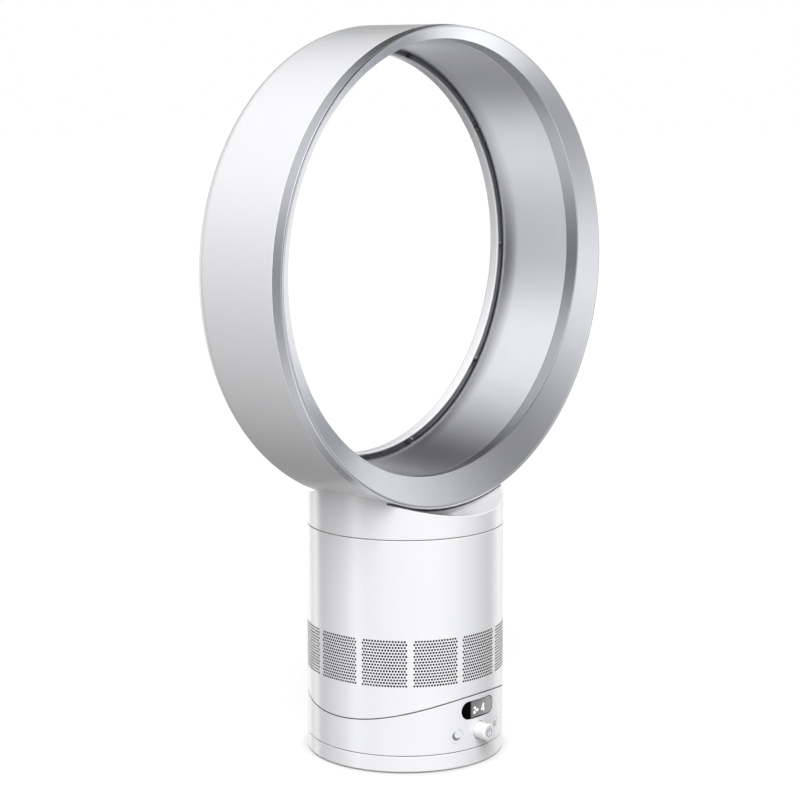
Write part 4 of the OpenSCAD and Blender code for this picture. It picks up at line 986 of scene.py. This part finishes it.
lune = crescent(-control["buttonAt"], control["buttonHeight"] + moonSign["rise"], moonSign)
moon = inkMarks("moonMark", [lune], onCasing(button["front"]), inkFinish)
settle(moon, "sleep_button", "white_shell")

swaySign = {"half": 2.1, "bar": 0.8, "aside": 0.8, "radius": 2.9, "arc": 0.75, "spread": 42}
x, z, spread = control["buttonAt"], control["buttonHeight"], swaySign["spread"]
sway = [barStrip(x, z - swaySign["half"], x, z + swaySign["half"], swaySign["bar"])]
sway += [arcStrip(x + side * swaySign["aside"], z, swaySign["radius"], swaySign["arc"], middle - spread,
                  middle + spread) for side, middle in ((1, 180), (-1, 0))]
swayMark = inkMarks("swayMark", sway, onCasing(button["front"]), inkFinish)
settle(swayMark, "oscillation_button", "white_shell")


def onKnob(x, z):
    return knob["front"] + dishDepth(sqrt(x * x + (z - knob["height"]) ** 2))


powerSign = {"drop": 0.3, "radius": 2.9, "width": 0.62, "start": 122, "end": 418, "steps": 48,
             "bar": (-0.1, 3.3)}
power = [arcStrip(0, knob["height"] - powerSign["drop"], powerSign["radius"], powerSign["width"],
                  powerSign["start"], powerSign["end"], powerSign["steps"]),
         barStrip(0, knob["height"] + powerSign["bar"][0], 0, knob["height"] + powerSign["bar"][1],
                  powerSign["width"])]
powerMark = inkMarks("powerMark", power, onKnob, inkFinish)
settle(powerMark, "control_knob", "white_shell")
print("marks made")


# floor and light

# half its side in metres, greys for bounced rays and for the camera, its glow, and the painted shadow by the
# foot: from and to in millimetres, then the share at each
paper = {"half": 12.0, "speckle": 60.0, "bounced": (0.22, 0.21), "seen": (0.24, 0.23), "glow": 0.74,
         "edge": (73.4, 75.0, 0.3, 0.85), "beyond": (74.8, 84, 0.0, 0.15)}
half = paper["half"] / mm
floorMesh = meshOf("studioFloor", [(-half, -half, 0), (half, -half, 0), (half, half, 0), (-half, half, 0)],
                   [(0, 1, 2, 3)])
floor = placed("studioFloor", floorMesh)
floorLook = bpy.data.materials.new("paperFloor")
floorLook.use_nodes = True
tree = floorLook.node_tree
tree.nodes.clear()
add = partial(addNode, tree)
speckle = add("ShaderNodeTexNoise", Scale=paper["speckle"], Vector=objectPlace(tree)).outputs["Fac"]
# painted shadow: the paper's glow is dimmed right under the foot
fromFoot = add("ShaderNodeVectorMath", {"operation": "LENGTH"}, i0=objectPlace(tree)).outputs["Value"]
shade = plus(*(ramp(fromFoot, near * mm, far * mm, low, high)
               for near, far, low, high in (paper["edge"], paper["beyond"])))
looks = []
for (light, dark), strength in ((paper["bounced"], 0.0), (paper["seen"], times(shade, paper["glow"]))):
    matt = add("ShaderNodeBsdfDiffuse", Color=mixColors(speckle, grey(light), grey(dark)))
    glow = add("ShaderNodeEmission", Color=grey(1), Strength=strength)
    looks.append(add("ShaderNodeAddShader", i0=matt, i1=glow))
rays = add("ShaderNodeLightPath").outputs
add("ShaderNodeOutputMaterial", i0=mixShaders(straightRays(rays), *looks))
floorMesh.materials.append(floorLook)
floor.visible_glossy = False

# cards that polished faces mirror: azimuth from the camera with right positive, elevation, spread
# sideways and up, all in degrees, then strength
cards = [(46, 1, 40, 29, 1.16), (125, -59, 53, 26, 1.6), (139, -2, 21, 50, 0.68), (-59, 40, 41, 24, 1.21),
         (-52, -56, 75, 37, 1.15), (-60, 6, 10, 50, 1.09), (164, -10, 17, 30, 0.72), (-97, 61, 75, 15, 0.85),
         (-155, -10, 24, 16, 1.3), (126, 38, 38, 30, 0.8), (136, -9, 15, 10, 0.8),
         (-128, -9, 9, 15, 1.3)]
# plain surroundings for matt faces, and for the camera
bounced, seen = 0.1, 1.0
world = bpy.data.worlds.new("studio")
bpy.context.scene.world = world
world.use_nodes = True
world.cycles.sampling_method = "NONE"
world.node_tree.nodes.clear()
add = partial(addNode, world.node_tree)
way = add("ShaderNodeTexCoord").outputs["Generated"]
side, front = sin(radians(-view["turn"])), cos(radians(-view["turn"]))
aside, toward = (add("ShaderNodeVectorMath", {"operation": "DOT_PRODUCT"}, i0=way, i1=axis).outputs["Value"]
                 for axis in ((front, -side, 0), (-side, -front, 0)))
azimuth = times(calc("ARCTAN2", aside, toward), 180 / pi)
elevation = times(calc("ARCSINE", add("ShaderNodeSeparateXYZ", i0=way).outputs[2]), 180 / pi)
total = None
for middle, up, wide, tall, strength in cards:
    turned = add("ShaderNodeMath", {"operation": "WRAP"}, i0=minus(azimuth, middle), i1=180.0,
                 i2=-180.0).outputs[0]
    away = plus(*(calc("POWER", calc("ABSOLUTE", over(distance, spread)), 2.0)
                  for distance, spread in ((turned, wide), (minus(elevation, up), tall))))
    part = times(calc("EXPONENT", times(away, -1.0)), strength)
    total = part if total is None else plus(total, part)
mirrored, around, plain = (add("ShaderNodeBackground", Color=grey(1), Strength=strength)
                           for strength in (total, bounced, seen))
rays = add("ShaderNodeLightPath").outputs
lit = mixShaders(rays["Is Glossy Ray"], around, mirrored)
add("ShaderNodeOutputWorld", i0=mixShaders(straightRays(rays), lit, plain))

# lamps for the matt share of the light: azimuth, elevation, strength
lamps = [(6, 48, 3.1), (-2, 12, 1.4), (-150, 12, 2.6), (-110, 48, 0.4), (150, 30, 1.4)]
lampSpread = 45
for number, (azimuth, elevation, strength) in enumerate(lamps):
    lampData = bpy.data.lights.new(f"lamp{number}", "SUN")
    lampData.energy = strength
    lampData.angle = radians(lampSpread)
    lamp = placed(f"lamp{number}", lampData)
    lamp.matrix_world = aimed(view["turn"] + azimuth, elevation)
    lamp.visible_glossy = False
print("studio made")
